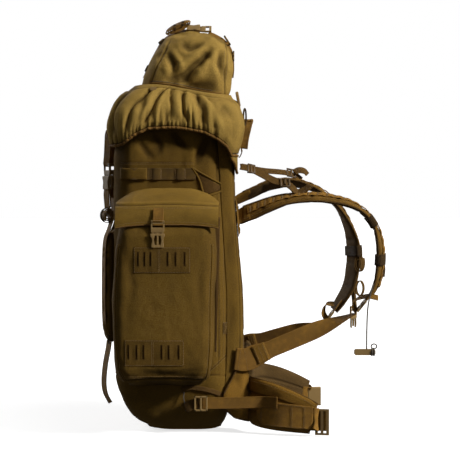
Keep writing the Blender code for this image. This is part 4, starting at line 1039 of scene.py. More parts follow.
def hood_skin():
    cuts = dict(side=84, end=100, arc=30)
    base = stack(HOOD, [0.664], **cuts)[0]
    low = np.interp(base[:, 0], [h[0] for h in HEM], [h[1] for h in HEM])
    t = np.linspace(0.0, 1.0, 56)
    z = low[None] + (0.757 - low[None]) * t[:, None]
    rings = stack(HOOD, np.linspace(0.56, 0.757, 120), 0.006, **cuts)
    level = (z - 0.56) / 0.197 * 119.0
    i = np.clip(np.floor(level).astype(int), 0, 118)
    f = (level - i)[..., None]
    col = np.arange(len(base))[None]
    points = rings[i, col] * (1 - f) + rings[i + 1, col] * f
    points[..., 2] -= crown_sag(points[..., 0], points[..., 2])
    corner = ease(np.abs(points[..., 1]), 0.050, 0.085) * ease(points[..., 0], 0.060, 0.115)
    points[..., 0] += 0.0150 * corner * bump(points[..., 2], 0.668, 0.050)
    out = normals(points, True)
    ring = np.vstack([base, base[:1]])
    s = np.concatenate([[0], np.cumsum(np.linalg.norm(np.diff(ring, axis=0), axis=1))])[:-1][None] + 0 * z
    tt = t[:, None] + 0 * s
    rear = ease(points[..., 0], 0.080, 0.115)
    gather = 1.0 - 0.85 * rear

    def pleats(phase, sharp):
        return np.abs(np.sin(np.pi * phase)) ** sharp

    jitter = np.stack([s, tt * 0.02, 0 * s], -1)
    big = s / 0.042 + 0.95 * noise(jitter, 0.06, 21) + 0.30 * noise(np.stack([s, tt * 0.05, 0 * s], -1), 0.02,
                                                                    22)
    big += 0.45 * (tt - 0.4) * np.sign(points[..., 0] + 0.02) * 0.8
    strength = 0.55 + 0.45 * noise(jitter, 0.031, 23)
    lift = 0.0150 * (pleats(big, 0.85) - 0.64) * strength * ease(tt, 0.02, 0.28) * (1 - ease(tt, 0.80, 1.0))
    mid = s / 0.0190 + 0.9 * noise(jitter, 0.03, 25)
    lift += 0.0062 * (pleats(mid, 0.8) - 0.64) * (1 - ease(tt, 0.20, 0.60)) * (0.6 + 0.4 * noise(jitter, 0.015, 27))
    fine = s / 0.0078 + 0.7 * noise(jitter, 0.016, 26)
    lift += 0.0034 * (pleats(fine, 0.6) - 0.7) * (1 - ease(tt, 0.05, 0.22 + 0.10 * noise(jitter, 0.02, 29)))
    lift *= gather
    lift += 0.0030 * bump(tt, 0.45, 0.33) * gather + 0.0012 * layers(points, 0.03, 28)
    lift -= 0.0020 * (1 - ease(tt, 0.0, 0.10)) + 0.0045 * ease(-points[..., 0], 0.06,
                                                               0.13) * ease(tt, 0.30, 0.80)
    # the fold value paints shade in the pleats' valleys and a highlight on their ridges
    fold = np.clip(lift / 0.0036, -1.9, 1.2)
    top = groove(np.abs(tt - 0.93) * 0.11, 0.0016, 0.0016) * (1 - rear)
    lift, fold = lift + top, fold + top / 0.0016
    points = points + out * lift[..., None]
    geo = Geo()
    shell(geo, points, True, 0.0024, fold=fold, high_cap=True, lean=out)
    geo.make("hood_skin", "lid", LID, ["lid_hood"], "lid_fabric")
    # bound hem with its drawn cord inside, along the gathered edge but not across the rear
    count = len(base)
    order = np.arange(count)
    start = next(k for k in order if base[k, 0] < 0.1235 and base[k, 1] > 0)
    edge = [k for k in range(start, count) if not (base[k, 1] < 0 and base[k, 0] > 0.1235)]
    path = points[0, edge] - out[0, edge] * 0.0012
    path = resample(path, 0.0016)
    ripple = 0.0004 * np.sin(np.arange(len(path)) * 1.9) + 0.0003 * noise(path, 0.008, 31)
    path[:, 2] -= 0.0046
    hem = Geo()
    _, side, up = frames(path, (0, 0, 1))
    sections = np.array([round_section(0.0031 + r, 12) for r in ripple])
    sweep(hem, path, (0, 0, 1), sections)
    hem.make("hem_binding_tape", "lid", BINDING, ["hem_binding"], "binding")
    return geo.surface()


def pocket_lid_skin():
    cuts = dict(side=56, end=76, arc=24)
    heights = np.concatenate([np.linspace(0.7545, 0.86, 60),
                              0.86 + 0.0150 * np.sin(np.linspace(0.08, 1.0, 16) * np.pi / 2)])
    table = [(0.7500, -0.086, 0.103, 0.139, 0.050)] + TOP_POCKET
    points = stack(table, heights, 0.006, **cuts)
    crown = []
    last = points[-1]
    centre = last.mean(0)
    for k in range(1, 15):
        f = k / 15.0
        ring = last + (centre - last) * f
        ring[:, 2] = 0.875 + 0.0035 * math.sin(f * math.pi / 2)
        crown.append(ring)
    points = np.concatenate([points, np.array(crown)])
    out = normals(points, True)
    x, y, z = points[..., 0].copy(), points[..., 1].copy(), points[..., 2].copy()
    points[..., 2] -= crown_sag(x, z)
    side = ease(np.abs(y), 0.05, 0.11)
    lift = 0.0052 * layers(points, (0.055, 0.08, 0.060), 41) + 0.0016 * layers(points, (0.018, 0.03, 0.022),
                                                                               42)
    slant = points.copy()
    slant[..., 2] = z + 0.9 * x
    slant[..., 0] = x * 0.35
    lift += 0.0030 * noise(slant, (0.05, 0.09, 0.022), 43) * ease(z, 0.76, 0.79)
    fold = lift / 0.007
    for line, depth, width in (
        ([(-0.024, 0.7665), (0.012, 0.782), (0.056, 0.816)], 0.0085, 0.008),
        ([(0.075, 0.842), (0.045, 0.808), (0.020, 0.795)], 0.0060, 0.007),
        ([(-0.005, 0.7670), (0.045, 0.7640), (0.090, 0.7720)], 0.0095, 0.013),
        ([(-0.030, 0.835), (-0.012, 0.800), (-0.018, 0.772)], 0.0050, 0.007),
        ([(0.090, 0.835), (0.088, 0.800), (0.100, 0.780)], 0.0055, 0.007),
        ([(0.000, 0.855), (0.020, 0.836), (0.060, 0.850)], 0.0045, 0.007),
    ):
        d, t = distance_to(x, z, line)
        taper = np.sin(np.pi * np.clip(t, 0.06, 0.94))
        g = (-depth * np.exp(-((d / width) ** 2)) + depth * 0.45 * bump(d, width * 2.0, width)) * taper * side
        lift, fold = lift + g * 1.25, fold + g / 0.0036
    for sx, lean_x in ((-0.046, 0.42), (0.100, 0.06)):
        d = np.abs(x - sx - lean_x * (z - 0.80))
        g = groove(d, 0.0018, 0.0016) * side * (1 - ease(z, 0.850, 0.864))
        lift, fold = lift + g, fold + g / 0.0014
    foot = 1 - ease(z, 0.7545, 0.7620)
    lift = lift * (1 - foot) - 0.001 * foot
    # painted shade: darker at the foot of the pocket, where it tucks into the seam
    fold = np.clip(fold, -1.4, 1.3) - 0.8 * foot
    points = points + out * lift[..., None]
    points[..., 2] = np.minimum(points[..., 2], 0.8795)
    geo = Geo()
    rows, cols = points.shape[:2]
    u, v = lengths_of(points, True)
    quads, r, c = grid_faces(rows, cols, True)
    faces, uvs = quads.tolist(), [corner_uvs(u, v, r, c)]
    faces += [list(range(cols))[::-1], [(rows - 1) * cols + i for i in range(cols)]]
    uvs += [points[0][::-1, :2], points[-1][:, :2]]
    geo.add(points.reshape(-1, 3), faces, np.vstack(uvs), fold)
    geo.make("lid_pocket_skin", "lid", LID, ["lid_pocket"], "lid_fabric")
    surface = Surface(points.reshape(-1, 3), quads.tolist())
    # piping over the seam at the foot of the pocket, and the zip under it
    trim, teeth, threads = Geo(), Geo(), Geo()
    for tag, sign in SIDES:
        xs = np.linspace(-0.062, 0.090, 60)
        p, n = surface.drop(np.column_stack([xs, np.zeros(60), 0.7600 - crown_sag(xs, 0.7600 + 0 * xs)]),
                            (0, -sign, 0))
        tube(trim, p + n * 0.0006, 0.0017, 8)
        for off in (0.0050,):
            stitch_line(threads, surface,
                        [(a, 0.7600 + off - float(crown_sag(a, 0.76))) for a in np.linspace(-0.06, 0.088,
                                                                                            12)], (0, -sign, 0))
        for sx, lean_x in ((-0.046, 0.42), (0.100, 0.06)):
            for off in (-0.0035, 0.0035):
                stitch_line(threads, surface,
                            [(sx + off + lean_x * (zz - 0.80), zz) for zz in (0.765, 0.80, 0.845)],
                            (0, -sign, 0))
        teeth_x = np.linspace(-0.0640, 0.0720, 150)
        p, n = surface.drop(np.column_stack([teeth_x, 0 * teeth_x,
                                             0.7640 - crown_sag(teeth_x, 0.764 + 0 * teeth_x)]),
                            (0, -sign, 0))
        stitches(teeth, p, n, pitch=0.0020, length=0.0011, radius=0.0011)
    teeth.make("lid_zip_teeth", "lid", ZIP)
    trim.make("lid_pocket_piping", "lid", BINDING, slot="binding")
    threads.make("lid_stitching", "lid", THREAD)
    return surface


def rear_panel_skin():
    cuts = dict(side=60, end=60, arc=20)
    ring = plan_ring(-0.1505, 0.1265, 0.186, 0.055, **cuts)
    low = [(0.075, 0.6000), (0.100, 0.5995), (0.1125, 0.5980), (0.1220, 0.5850), (0.1265, 0.565)]
    keep = [k for k in range(len(ring)) if ring[k, 0] > 0.1105]
    cut = next(a for a, b in zip(keep, keep[1:]) if b - a > 1)
    keep = [k for k in keep if k > cut] + [k for k in keep if k <= cut]
    outer = ring[keep]
    bottom = np.interp(outer[:, 0], [a for a, _ in low], [b for _, b in low])
    t = np.linspace(0, 1, 14)[:, None]
    z = bottom[None] + (0.6045 - bottom[None]) * t
    points = np.stack([outer[:, 0] + 0 * z, outer[:, 1] + 0 * z, z], -1)
    out = normals(points, False)
    lift = 0.0010 * layers(points, 0.03, 51)
    points = points + out * lift[..., None]
    geo = Geo()
    shell(geo, points, False, 0.0034, fold=lift / 0.002, lean=out)
    geo.make("rear_panel_skin", "pack", LID, ["lid_rear_panel"], "lid_fabric")
    edge = Geo()
    tube(edge, points[0] - out[0] * 0.0010, 0.0030, 8, up=(0, 0, 1))
    edge.make("rear_panel_edge", "pack", BINDING, slot="binding")


# ---------------------------------------------------------------- side pockets
def pocket_path(row):
    """U-shaped line round a pocket, from its rear edge by the bag to its front edge, in (x, y)."""
    front, rear, outer, radius = row
    back = SIDE_Y + 0.0008
    pieces = []
    angle = np.radians(np.linspace(0, 90, 15))
    gusset = np.linspace(back, outer - radius, 34, endpoint=False)
    pieces.append(np.column_stack([np.full(34, rear), gusset]))
    pieces.append(np.column_stack([rear - radius + radius * np.cos(angle),
                                   outer - radius + radius * np.sin(angle)]))
    face = np.linspace(rear - radius, front + radius, 66)[1:-1]
    pieces.append(np.column_stack([face, np.full(64, outer)]))
    pieces.append(np.column_stack([front + radius - radius * np.sin(angle),
                                   outer - radius + radius * np.cos(angle)]))
    pieces.append(np.column_stack([np.full(34, front), gusset[::-1]]))
    return np.vstack(pieces)


def side_pockets():
    found = {}
    for tag, sign in SIDES:
        heights = np.concatenate([np.linspace(0.1152, 0.150, 22), np.linspace(0.153, 0.475, 110)])
        front, rear, outer, radius = columns(POCKET, heights, 0.006)
        rows = []
        for k, z in enumerate(heights):
            path = pocket_path((front[k], rear[k], outer[k], radius[k]))
            rows.append(np.column_stack([path[:, 0], sign * path[:, 1], np.full(len(path), z)]))
        points = np.array(rows)
        if sign < 0:
            points = points[:, ::-1]
        out = normals(points, False)
        x, y, z = points[..., 0], points[..., 1], points[..., 2]
        if (out[60, 60:90, 1] * sign).mean() < 0:
            raise RuntimeError("pocket faces the wrong way")
        face = ease(np.abs(y), 0.235, 0.272)
        across = np.clip((x + 0.032) / 0.105, -1, 1)
        lift = 0.0062 * (1 - across**2) * face * ease(z, 0.13, 0.22) * (1 - ease(z, 0.40, 0.47))
        lift += 0.0024 * layers(points, (0.07, 0.09, 0.085),
                                61 + sign) + 0.0009 * layers(points, (0.02, 0.03, 0.028), 62)
        lift += 0.0028 * noise(points, (0.030, 0.06, 0.014), 63 + sign) * bump(z, 0.145, 0.022)
        lift += 0.0022 * noise(points, (0.016, 0.05, 0.10), 64 + sign) * (1 - face) * ease(np.abs(y), 0.17,
                                                                                           0.20)
        for line, depth, width in (([(-0.118, 0.44), (-0.095, 0.33), (-0.110, 0.24)], 0.0022, 0.010),
                                   ([(0.060, 0.43), (0.045, 0.33), (0.058, 0.22)], 0.0020, 0.010),
                                   ([(-0.10, 0.150), (-0.03, 0.142), (0.05, 0.155)], 0.0020, 0.006)):
            d, t = distance_to(x, z, line)
            lift += -depth * np.exp(-((d / width) ** 2)) * np.sin(np.pi * np.clip(t, 0.03, 0.97)) * face
        # painted shade: the gussets off the pocket's face are darkened by a fixed amount
        fold = np.clip(lift / 0.0048, -1, 1) - 0.25 * (1 - face)
        seam = groove(np.abs(z - 0.1294 - 0.003 * np.cos((x + 0.03) * 18)), 0.0016, 0.0016, 0.6)
        lift, fold = lift + seam, fold + seam / 0.0016
        away = ease(np.abs(y), SIDE_Y + 0.001, SIDE_Y + 0.012)
        points = points + out * (lift * away)[..., None]
        geo = Geo()
        shell(geo, points, False, 0.0026, fold=fold, lean=out)
        low = points[0]
        geo.make("side_pocket_skin_" + tag, "pack", POCKET_CLOTH, ["side_pocket_" + tag], "pocket_fabric")
        quads, _, _ = grid_faces(points.shape[0], points.shape[1], False)
        surface = Surface(points.reshape(-1, 3), quads.tolist())
        found[tag] = surface
        # floor of the pocket, closing the lip below the bottom seam
        mid = low.mean(0)
        rings = [low + np.array([0, 0, 0.0001])]
        for k in (0.35, 0.7, 0.999):
            ring = low + (mid - low) * k
            ring[:, 2] = 0.1152 + 0.0014 * k
            rings.append(ring)
        grid = np.array(rings)
        floor = Geo()
        # painted shade: a fixed fold value of -0.3 darkens the pocket's floor
        shell(floor, grid, False, 0.0012, fold=np.full(grid.shape[:2], -0.3))
        floor.make("pocket_floor_" + tag, "pack", POCKET_CLOTH, slot="pocket_fabric")
        d = (0.0, -sign, 0.0)
        # piped welts down both front edges of the face and round the foot
        piping, threads, panels, dark = Geo(), Geo(), Geo(), Geo()
        cols = points.shape[1]
        for column in (41, cols - 42):
            line = points[4:112, column] + out[4:112, column] * 0.0004
            tube(piping, resample(line, 0.003), 0.0015, 8)
            for off in (-0.0042, 0.0042):
                p = line + np.cross(out[4:112, column], (0, 0, 1)) * off
                hit, nrm = surface.drop(p, d) if abs(out[60, column, 1]) > 0.5 else (p, out[4:112, column])
                stitches(threads, hit, nrm, lift=0.0003)
        for z in (0.1345, 0.1375):
            stitch_line(threads, surface, [(-0.112, z), (0.052, z)], d)
        # laminated panels with two groups of three slots
        for x0, x1, z0, z1, groups, slot in (
            (-0.0925, 0.0275, 0.3560, 0.4115, ((-0.0869 + 0.004, 0.0), (-0.0712 + 0.002, 0.0), (-0.0565, 0.0),
                                               (-0.0209, -0.003), (-0.0042, -0.004), (0.0148, -0.005)),
                                               0.030),
            (-0.1120, 0.0140, 0.1600, 0.2165, ((-0.1035, 0.0), (-0.0863, 0.0), (-0.0716, 0.0),
                                               (-0.0338, 0.0), (-0.0191, 0.0), (0.0019, 0.0)), 0.031),
        ):
            middle = (z0 + z1) / 2 + 0.002
            cuts_x = [x0, x0 + 0.003]
            for cx, _ in groups:
                cuts_x += [cx - 0.0040, cx - 0.0021, cx + 0.0021, cx + 0.0040]
            cuts_x += [x1 - 0.003, x1]
            cuts_x = np.array(sorted(set(np.round(cuts_x, 5))))
            extra = [(a + b) / 2 for a, b in zip(cuts_x, cuts_x[1:]) if b - a > 0.006]
            cuts_x = np.array(sorted(list(cuts_x) + extra))
            cuts_z = np.concatenate([[z0, z0 + 0.003], np.linspace(z0 + 0.006, middle - slot / 2, 3),
                                     np.linspace(middle - slot / 2, middle + slot / 2, 9)[1:],
                                     np.linspace(middle + slot / 2, z1 - 0.006, 3)[1:], [z1 - 0.003, z1]])
            gx, gz = np.meshgrid(cuts_x, cuts_z)
            hit, nrm = surface.drop(np.stack([gx, 0 * gx, gz], -1), d)
            hit, nrm = hit.reshape(gx.shape + (3,)), nrm.reshape(gx.shape + (3,))
            rise = np.full(gx.shape, 0.0012)
            rise[0], rise[-1], rise[:, 0], rise[:, -1] = 0.0004, 0.0004, 0.0004, 0.0004
            for cx, _ in groups:
                near = np.clip(1 - np.abs(gx - cx) / 0.0075, 0, 1) * bump(gz, middle, slot * 0.42)
                rise += 0.0015 * near
            sheet = hit + nrm * rise[..., None]
            rows_n, cols_n = gx.shape
            flat = sheet.reshape(-1, 3)
            under = (sheet - nrm * 0.0010).reshape(-1, 3)
            verts = np.vstack([flat, under])
            faces, uvs, count = [], [], rows_n * cols_n
            open_cells = set()
            for i in range(rows_n - 1):
                for j in range(cols_n - 1):
                    xm, zm = (cuts_x[j] + cuts_x[j + 1]) / 2, (cuts_z[i] + cuts_z[i + 1]) / 2
                    if any(abs(xm - cx) < 0.0020 for cx, _ in groups) and abs(zm - middle) < slot / 2:
                        open_cells.add((i, j))
            for i in range(rows_n - 1):
                for j in range(cols_n - 1):
                    if (i, j) in open_cells:
                        continue
                    a, b = i * cols_n + j, i * cols_n + j + 1
                    e, f = a + cols_n, b + cols_n
                    quad = [a, b, f, e]
                    if sign > 0:
                        quad = quad[::-1]
                    faces.append(quad)
                    uvs += [verts[q][[0, 2]] for q in quad]
                    for (di, dj), (p, q) in (((-1, 0), (a, b)), ((1, 0), (f, e)), ((0, -1), (e, a)),
                                             ((0, 1), (b, f))):
                        ni, nj = i + di, j + dj
                        if not (0 <= ni < rows_n - 1 and 0 <= nj < cols_n - 1) or (ni, nj) in open_cells:
                            wall = [p, p + count, q + count, q]
                            if sign > 0:
                                wall = wall[::-1]
                            faces.append(wall)
                            uvs += [verts[w][[0, 2]] for w in wall]
            # the fold value paints a highlight on the raised rims beside the slots and shade along the panel's low
            # edges
            panels.add(verts, faces, np.array(uvs), np.concatenate([(rise.ravel() - 0.0012) / 0.003] * 2))
            # painted shade: a dark sheet under each row of slots stands in for the shade inside them
            patch_on(dark, surface,
                     [(x0 + 0.004, middle - slot / 2 - 0.002), (x1 - 0.004, middle - slot / 2 - 0.002),
                                     (x1 - 0.004, middle + slot / 2 + 0.002),
                                     (x0 + 0.004, middle + slot / 2 + 0.002)],
                     d, 30, 10, lift=0.0, thick=0.0003, fold=-1.0)
            frame_line = [(x0 + 0.0022, z0 + 0.0022), (x1 - 0.0022, z0 + 0.0022), (x1 - 0.0022, z1 - 0.0022),
                          (x0 + 0.0022, z1 - 0.0022), (x0 + 0.0022, z0 + 0.0022)]
            stitch_line(threads, surface, frame_line, d, lift=0.0014)
            gap = (groups[2][0] + groups[3][0]) / 2
            for off in (-0.0015, 0.0015):
                stitch_line(threads, surface, [(gap + off, z0 + 0.004), (gap + off, z1 - 0.004)], d,
                            lift=0.0014,
                            pitch=0.002, length=0.0017)
        piping.make("pocket_piping_" + tag, "pack", BAG_CLOTH, slot="pocket_fabric")
        threads.make("pocket_stitching_" + tag, "pack", THREAD)
        dark.make("slot_painted_shade_" + tag, "pack", LINING_AND_PAINTED_SHADE)
        panels.make("slot_panels_" + tag, "pack", LAMINATE_CLOTH,
                    ["slot_panel_upper_" + tag, "slot_panel_lower_" + tag], "pocket_fabric", smooth=False)
    return found


def flap_skins():
    for tag, sign in SIDES:
        profile = spline([(0.0, a, b) for a, b in FLAP_PROFILE], 0.0028)[:, 1:]
        tail = np.column_stack([np.full(4, profile[-1, 0]), np.linspace(profile[-1, 1], 0.4590, 5)[1:]])
        line = np.vstack([profile, tail]) if profile[-1, 1] > 0.4605 else profile
        n_line = len(line)
        t = np.linspace(0, 1, n_line)
        xs = np.concatenate([-0.1315 + 0.0085 * (1 - np.cos(np.linspace(0, np.pi / 2, 9)[:-1])) * 1.0,
                             np.linspace(-0.1230, 0.0770, 70),
                             0.0770 + 0.0085 * np.sin(np.linspace(0, np.pi / 2, 9)[1:])])
        drop = 0.030 * np.clip(np.abs(xs + 0.023) / 0.1085, 0, 1) ** 3.4
        grid = np.zeros((n_line, len(xs), 3))
        grid[..., 0] = xs[None]
        grid[..., 1] = sign * line[:, :1]
        grid[..., 2] = line[:, 1:] - drop[None] * (1 - 0.75 * t[:, None])
        if sign > 0:
            grid = grid[:, ::-1]
        grid = grid[::-1]
        out = normals(grid, False)
        x, z = grid[..., 0], grid[..., 2]
        if out[n_line // 2, 40, 2] < 0:
            out = -out
        rows = np.linspace(1, 0, n_line)[:, None] + 0 * x
        lift = 0.0016 * layers(grid, (0.05, 0.05, 0.05), 71 + sign) + 0.0007 * layers(grid, 0.018, 72)
        lift += 0.0022 * bump(rows, 0.18, 0.2) * (1 - np.clip(np.abs(x + 0.023) / 0.11, 0, 1) ** 2)
        lip = groove(np.abs(z - 0.4985 - 0.002 * np.cos((x + 0.02) * 25)), 0.0018, 0.0016, 0.7)
        fold = lift / 0.004 + lip / 0.0016
        lift = np.clip(lift + lip, -0.004, 0.0036)
        grid = grid + out * lift[..., None]
        geo = Geo()
        shell(geo, grid, False, 0.0028, fold=fold, lean=out)
        geo.make("flap_skin_" + tag, "flap_" + tag, FLAP_PAINTED_LIGHT_CLOTH, ["pocket_flap_" + tag], "pocket_fabric")
        # storm collar: a low wall of cloth at each end of the pocket's mouth, under the flap
        collar = Geo()
        for wall_x, facing in ((-0.1195, -1.0), (0.0735, 1.0)):
            t2, y2 = np.meshgrid(np.linspace(0, 1, 10), np.linspace(0.1705, 0.2590, 30), indexing="ij")
            under = np.interp(y2, [p[0] for p in FLAP_PROFILE], [p[1] for p in FLAP_PROFILE]) - 0.0300
            high = np.maximum(under, 0.4710)
            wall = np.stack([wall_x - facing * 0.006 * t2 + 0 * y2, sign * y2, 0.4660 + (high - 0.4660) * t2],
                            -1)
            wall[..., 0] += 0.0012 * layers(wall, 0.02, 75)
            lean = np.tile([facing, 0.0, 0.0], wall.shape[:2] + (1,))
            if (np.cross(np.gradient(wall, axis=1), np.gradient(wall, axis=0)) * lean).sum() < 0:
                wall = wall[:, ::-1]
            # painted shade: a fixed fold value of -0.35 darkens the collar under the flap
            shell(collar, wall, False, 0.0014, fold=np.full(wall.shape[:2], -0.35), lean=lean)
        collar.make("pocket_collar_" + tag, "pack", POCKET_CLOTH, slot="pocket_fabric")
        rim, threads = Geo(), Geo()
        low = grid[0] - out[0] * 0.0014
        tube(rim, resample(low, 0.003), 0.0020, 8)
        rim.make("flap_edge_" + tag, "flap_" + tag, BINDING, slot="binding")
        for k in (2,):
            stitches(threads, grid[k, 6:-6], out[k, 6:-6])
        quads, _, _ = grid_faces(grid.shape[0], grid.shape[1], False)
        surface = Surface(grid.reshape(-1, 3), quads.tolist())
        d = (0.0, -sign, 0.0)
        for z in (0.4940, 0.4910):
            stitch_line(threads, surface, [(-0.118, z), (0.072, z)], d)
        threads.make("flap_stitching_" + tag, "flap_" + tag, THREAD)
        web = Geo()
        x = -0.0400
        line = [(x, sign * 0.2740, 0.4920), (x, sign * 0.2795, 0.4780), (x, sign * 0.2822, 0.4640),
                (x, sign * 0.2848, 0.4590), (x, sign * 0.2852, 0.4560)]
        webbing(web, line, (1.0, 0.0, 0.0), width=0.0225, step=0.003)
        web.make("flap_webbing_" + tag, "flap_" + tag, WEB, slot="webbing")


# ---------------------------------------------------------------- padded pieces
def box_uvs(mesh):
    """Weave coordinates for a mesh with none: each face is laid flat along its main axis."""
    layer = mesh.uv_layers.get("UVMap") or mesh.uv_layers.new(name="UVMap")
    co = np.zeros(len(mesh.vertices) * 3, np.float32)
    mesh.vertices.foreach_get("co", co)
    co = co.reshape(-1, 3)
    corner = np.zeros(len(mesh.loops), np.int32)
    mesh.loops.foreach_get("vertex_index", corner)
    norm = np.zeros(len(mesh.polygons) * 3, np.float32)
    mesh.polygons.foreach_get("normal", norm)
    total = np.zeros(len(mesh.polygons), np.int32)
    mesh.polygons.foreach_get("loop_total", total)
    main = np.repeat(np.abs(norm.reshape(-1, 3)).argmax(1), total)
    p = co[corner]
    uv = np.where((main == 0)[:, None], p[:, [1, 2]],
                  np.where((main == 1)[:, None], p[:, [0, 2]], p[:, [0, 1]]))
    layer.data.foreach_set("uv", uv.astype(np.float32).ravel())


def inflate(obj, voxel=0.005, pressure=4.0, cap=0.008, frames_run=20):
    """The piece as a stuffed cloth form: remeshed, blown up by a cloth simulation and applied."""
    view = bpy.context.view_layer
    view.objects.active = obj
    remesh = obj.modifiers.new("voxels", "REMESH")
    remesh.mode, remesh.voxel_size = "VOXEL", voxel
    deps = bpy.context.evaluated_depsgraph_get()
    mesh = bpy.data.meshes.new_from_object(obj.evaluated_get(deps))
    obj.modifiers.clear()
    obj.data = mesh
    rest = np.array([v.co for v in mesh.vertices])
    cloth = obj.modifiers.new("cloth", "CLOTH")
    cloth.settings.use_pressure = True
    cloth.settings.uniform_pressure_force = pressure
    cloth.settings.effector_weights.gravity = 0.0
    cloth.settings.quality = 5
    cloth.point_cache.frame_start, cloth.point_cache.frame_end = 1, frames_run
    for number in range(1, frames_run + 1):
        scene.frame_set(number)
    deps = bpy.context.evaluated_depsgraph_get()
    blown = bpy.data.meshes.new_from_object(obj.evaluated_get(deps))
    obj.modifiers.clear()
    obj.data = blown
    co = np.array([v.co for v in blown.vertices])
    move = co - rest
    size = np.linalg.norm(move, axis=1, keepdims=True)
    co = rest + move * np.minimum(1.0, cap / np.maximum(size, 1e-9))
    blown.vertices.foreach_set("co", co.astype(np.float32).ravel())
    scene.frame_set(1)
    return obj


def finish_padded(obj, name, body, finish, replaces, fold_from=None):
    """A subdivided, weave-mapped padded piece with wrinkles, riding on its body."""
    deps = bpy.context.evaluated_depsgraph_get()
    smooth = obj.modifiers.new("smooth", "SUBSURF")
    smooth.levels = smooth.render_levels = 1
    deps = bpy.context.evaluated_depsgraph_get()
    mesh = bpy.data.meshes.new_from_object(obj.evaluated_get(deps))
    obj.modifiers.clear()
    obj.data = mesh
    co = np.array([v.co for v in mesh.vertices])
    if fold_from is not None:
        norm = np.array([v.normal for v in mesh.vertices])
        lift, fold = fold_from(co, norm)
        co = co + norm * lift[:, None]
        mesh.vertices.foreach_set("co", co.astype(np.float32).ravel())
        field = mesh.attributes.get("fold") or mesh.attributes.new("fold", "FLOAT", "POINT")
        field.data.foreach_set("value", fold.astype(np.float32))
    mesh.polygons.foreach_set("use_smooth", [True] * len(mesh.polygons))
    mesh.materials.clear()
    mesh.materials.append(finish)
    mesh.update()
    box_uvs(mesh)
    obj.name = mesh.name = name
    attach(obj, body)
    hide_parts(*replaces)
    return obj


def block(rows):
    """A pad as a stack of eight-sided rings (x, half width, z low, z high, corner)."""
    geo = Geo()
    rings = []
    for x, w, low, high, c in rows:
        ring = [(-w + c, low), (w - c, low), (w, low + c), (w, high - c), (w - c, high), (-w + c, high),
                (-w, high - c), (-w, low + c)]
        ring = resample(np.array(ring + ring[:1], float), 0.006, key=2)[:-1]
        rings.append(ring)
    count = min(len(r) for r in rings)
    grid = []
    for (x, *_), ring in zip(rows, rings):
        ring = np.vstack([ring, ring[:1]])
        at = np.linspace(0, len(ring) - 1, count + 1)[:-1]
        ring = np.stack([np.interp(at, np.arange(len(ring)), ring[:, k]) for k in (0, 1)], 1)
        grid.append(np.column_stack([np.full(count, x), ring]))
    grid = np.array(grid)
    quads, r, c = grid_faces(len(rows), count, True)
    faces = quads.tolist() + [list(range(count))[::-1], [(len(rows) - 1) * count + i for i in range(count)]]
    geo.add(grid.reshape(-1, 3), faces, np.zeros((sum(len(f) for f in faces), 2)))
    return geo


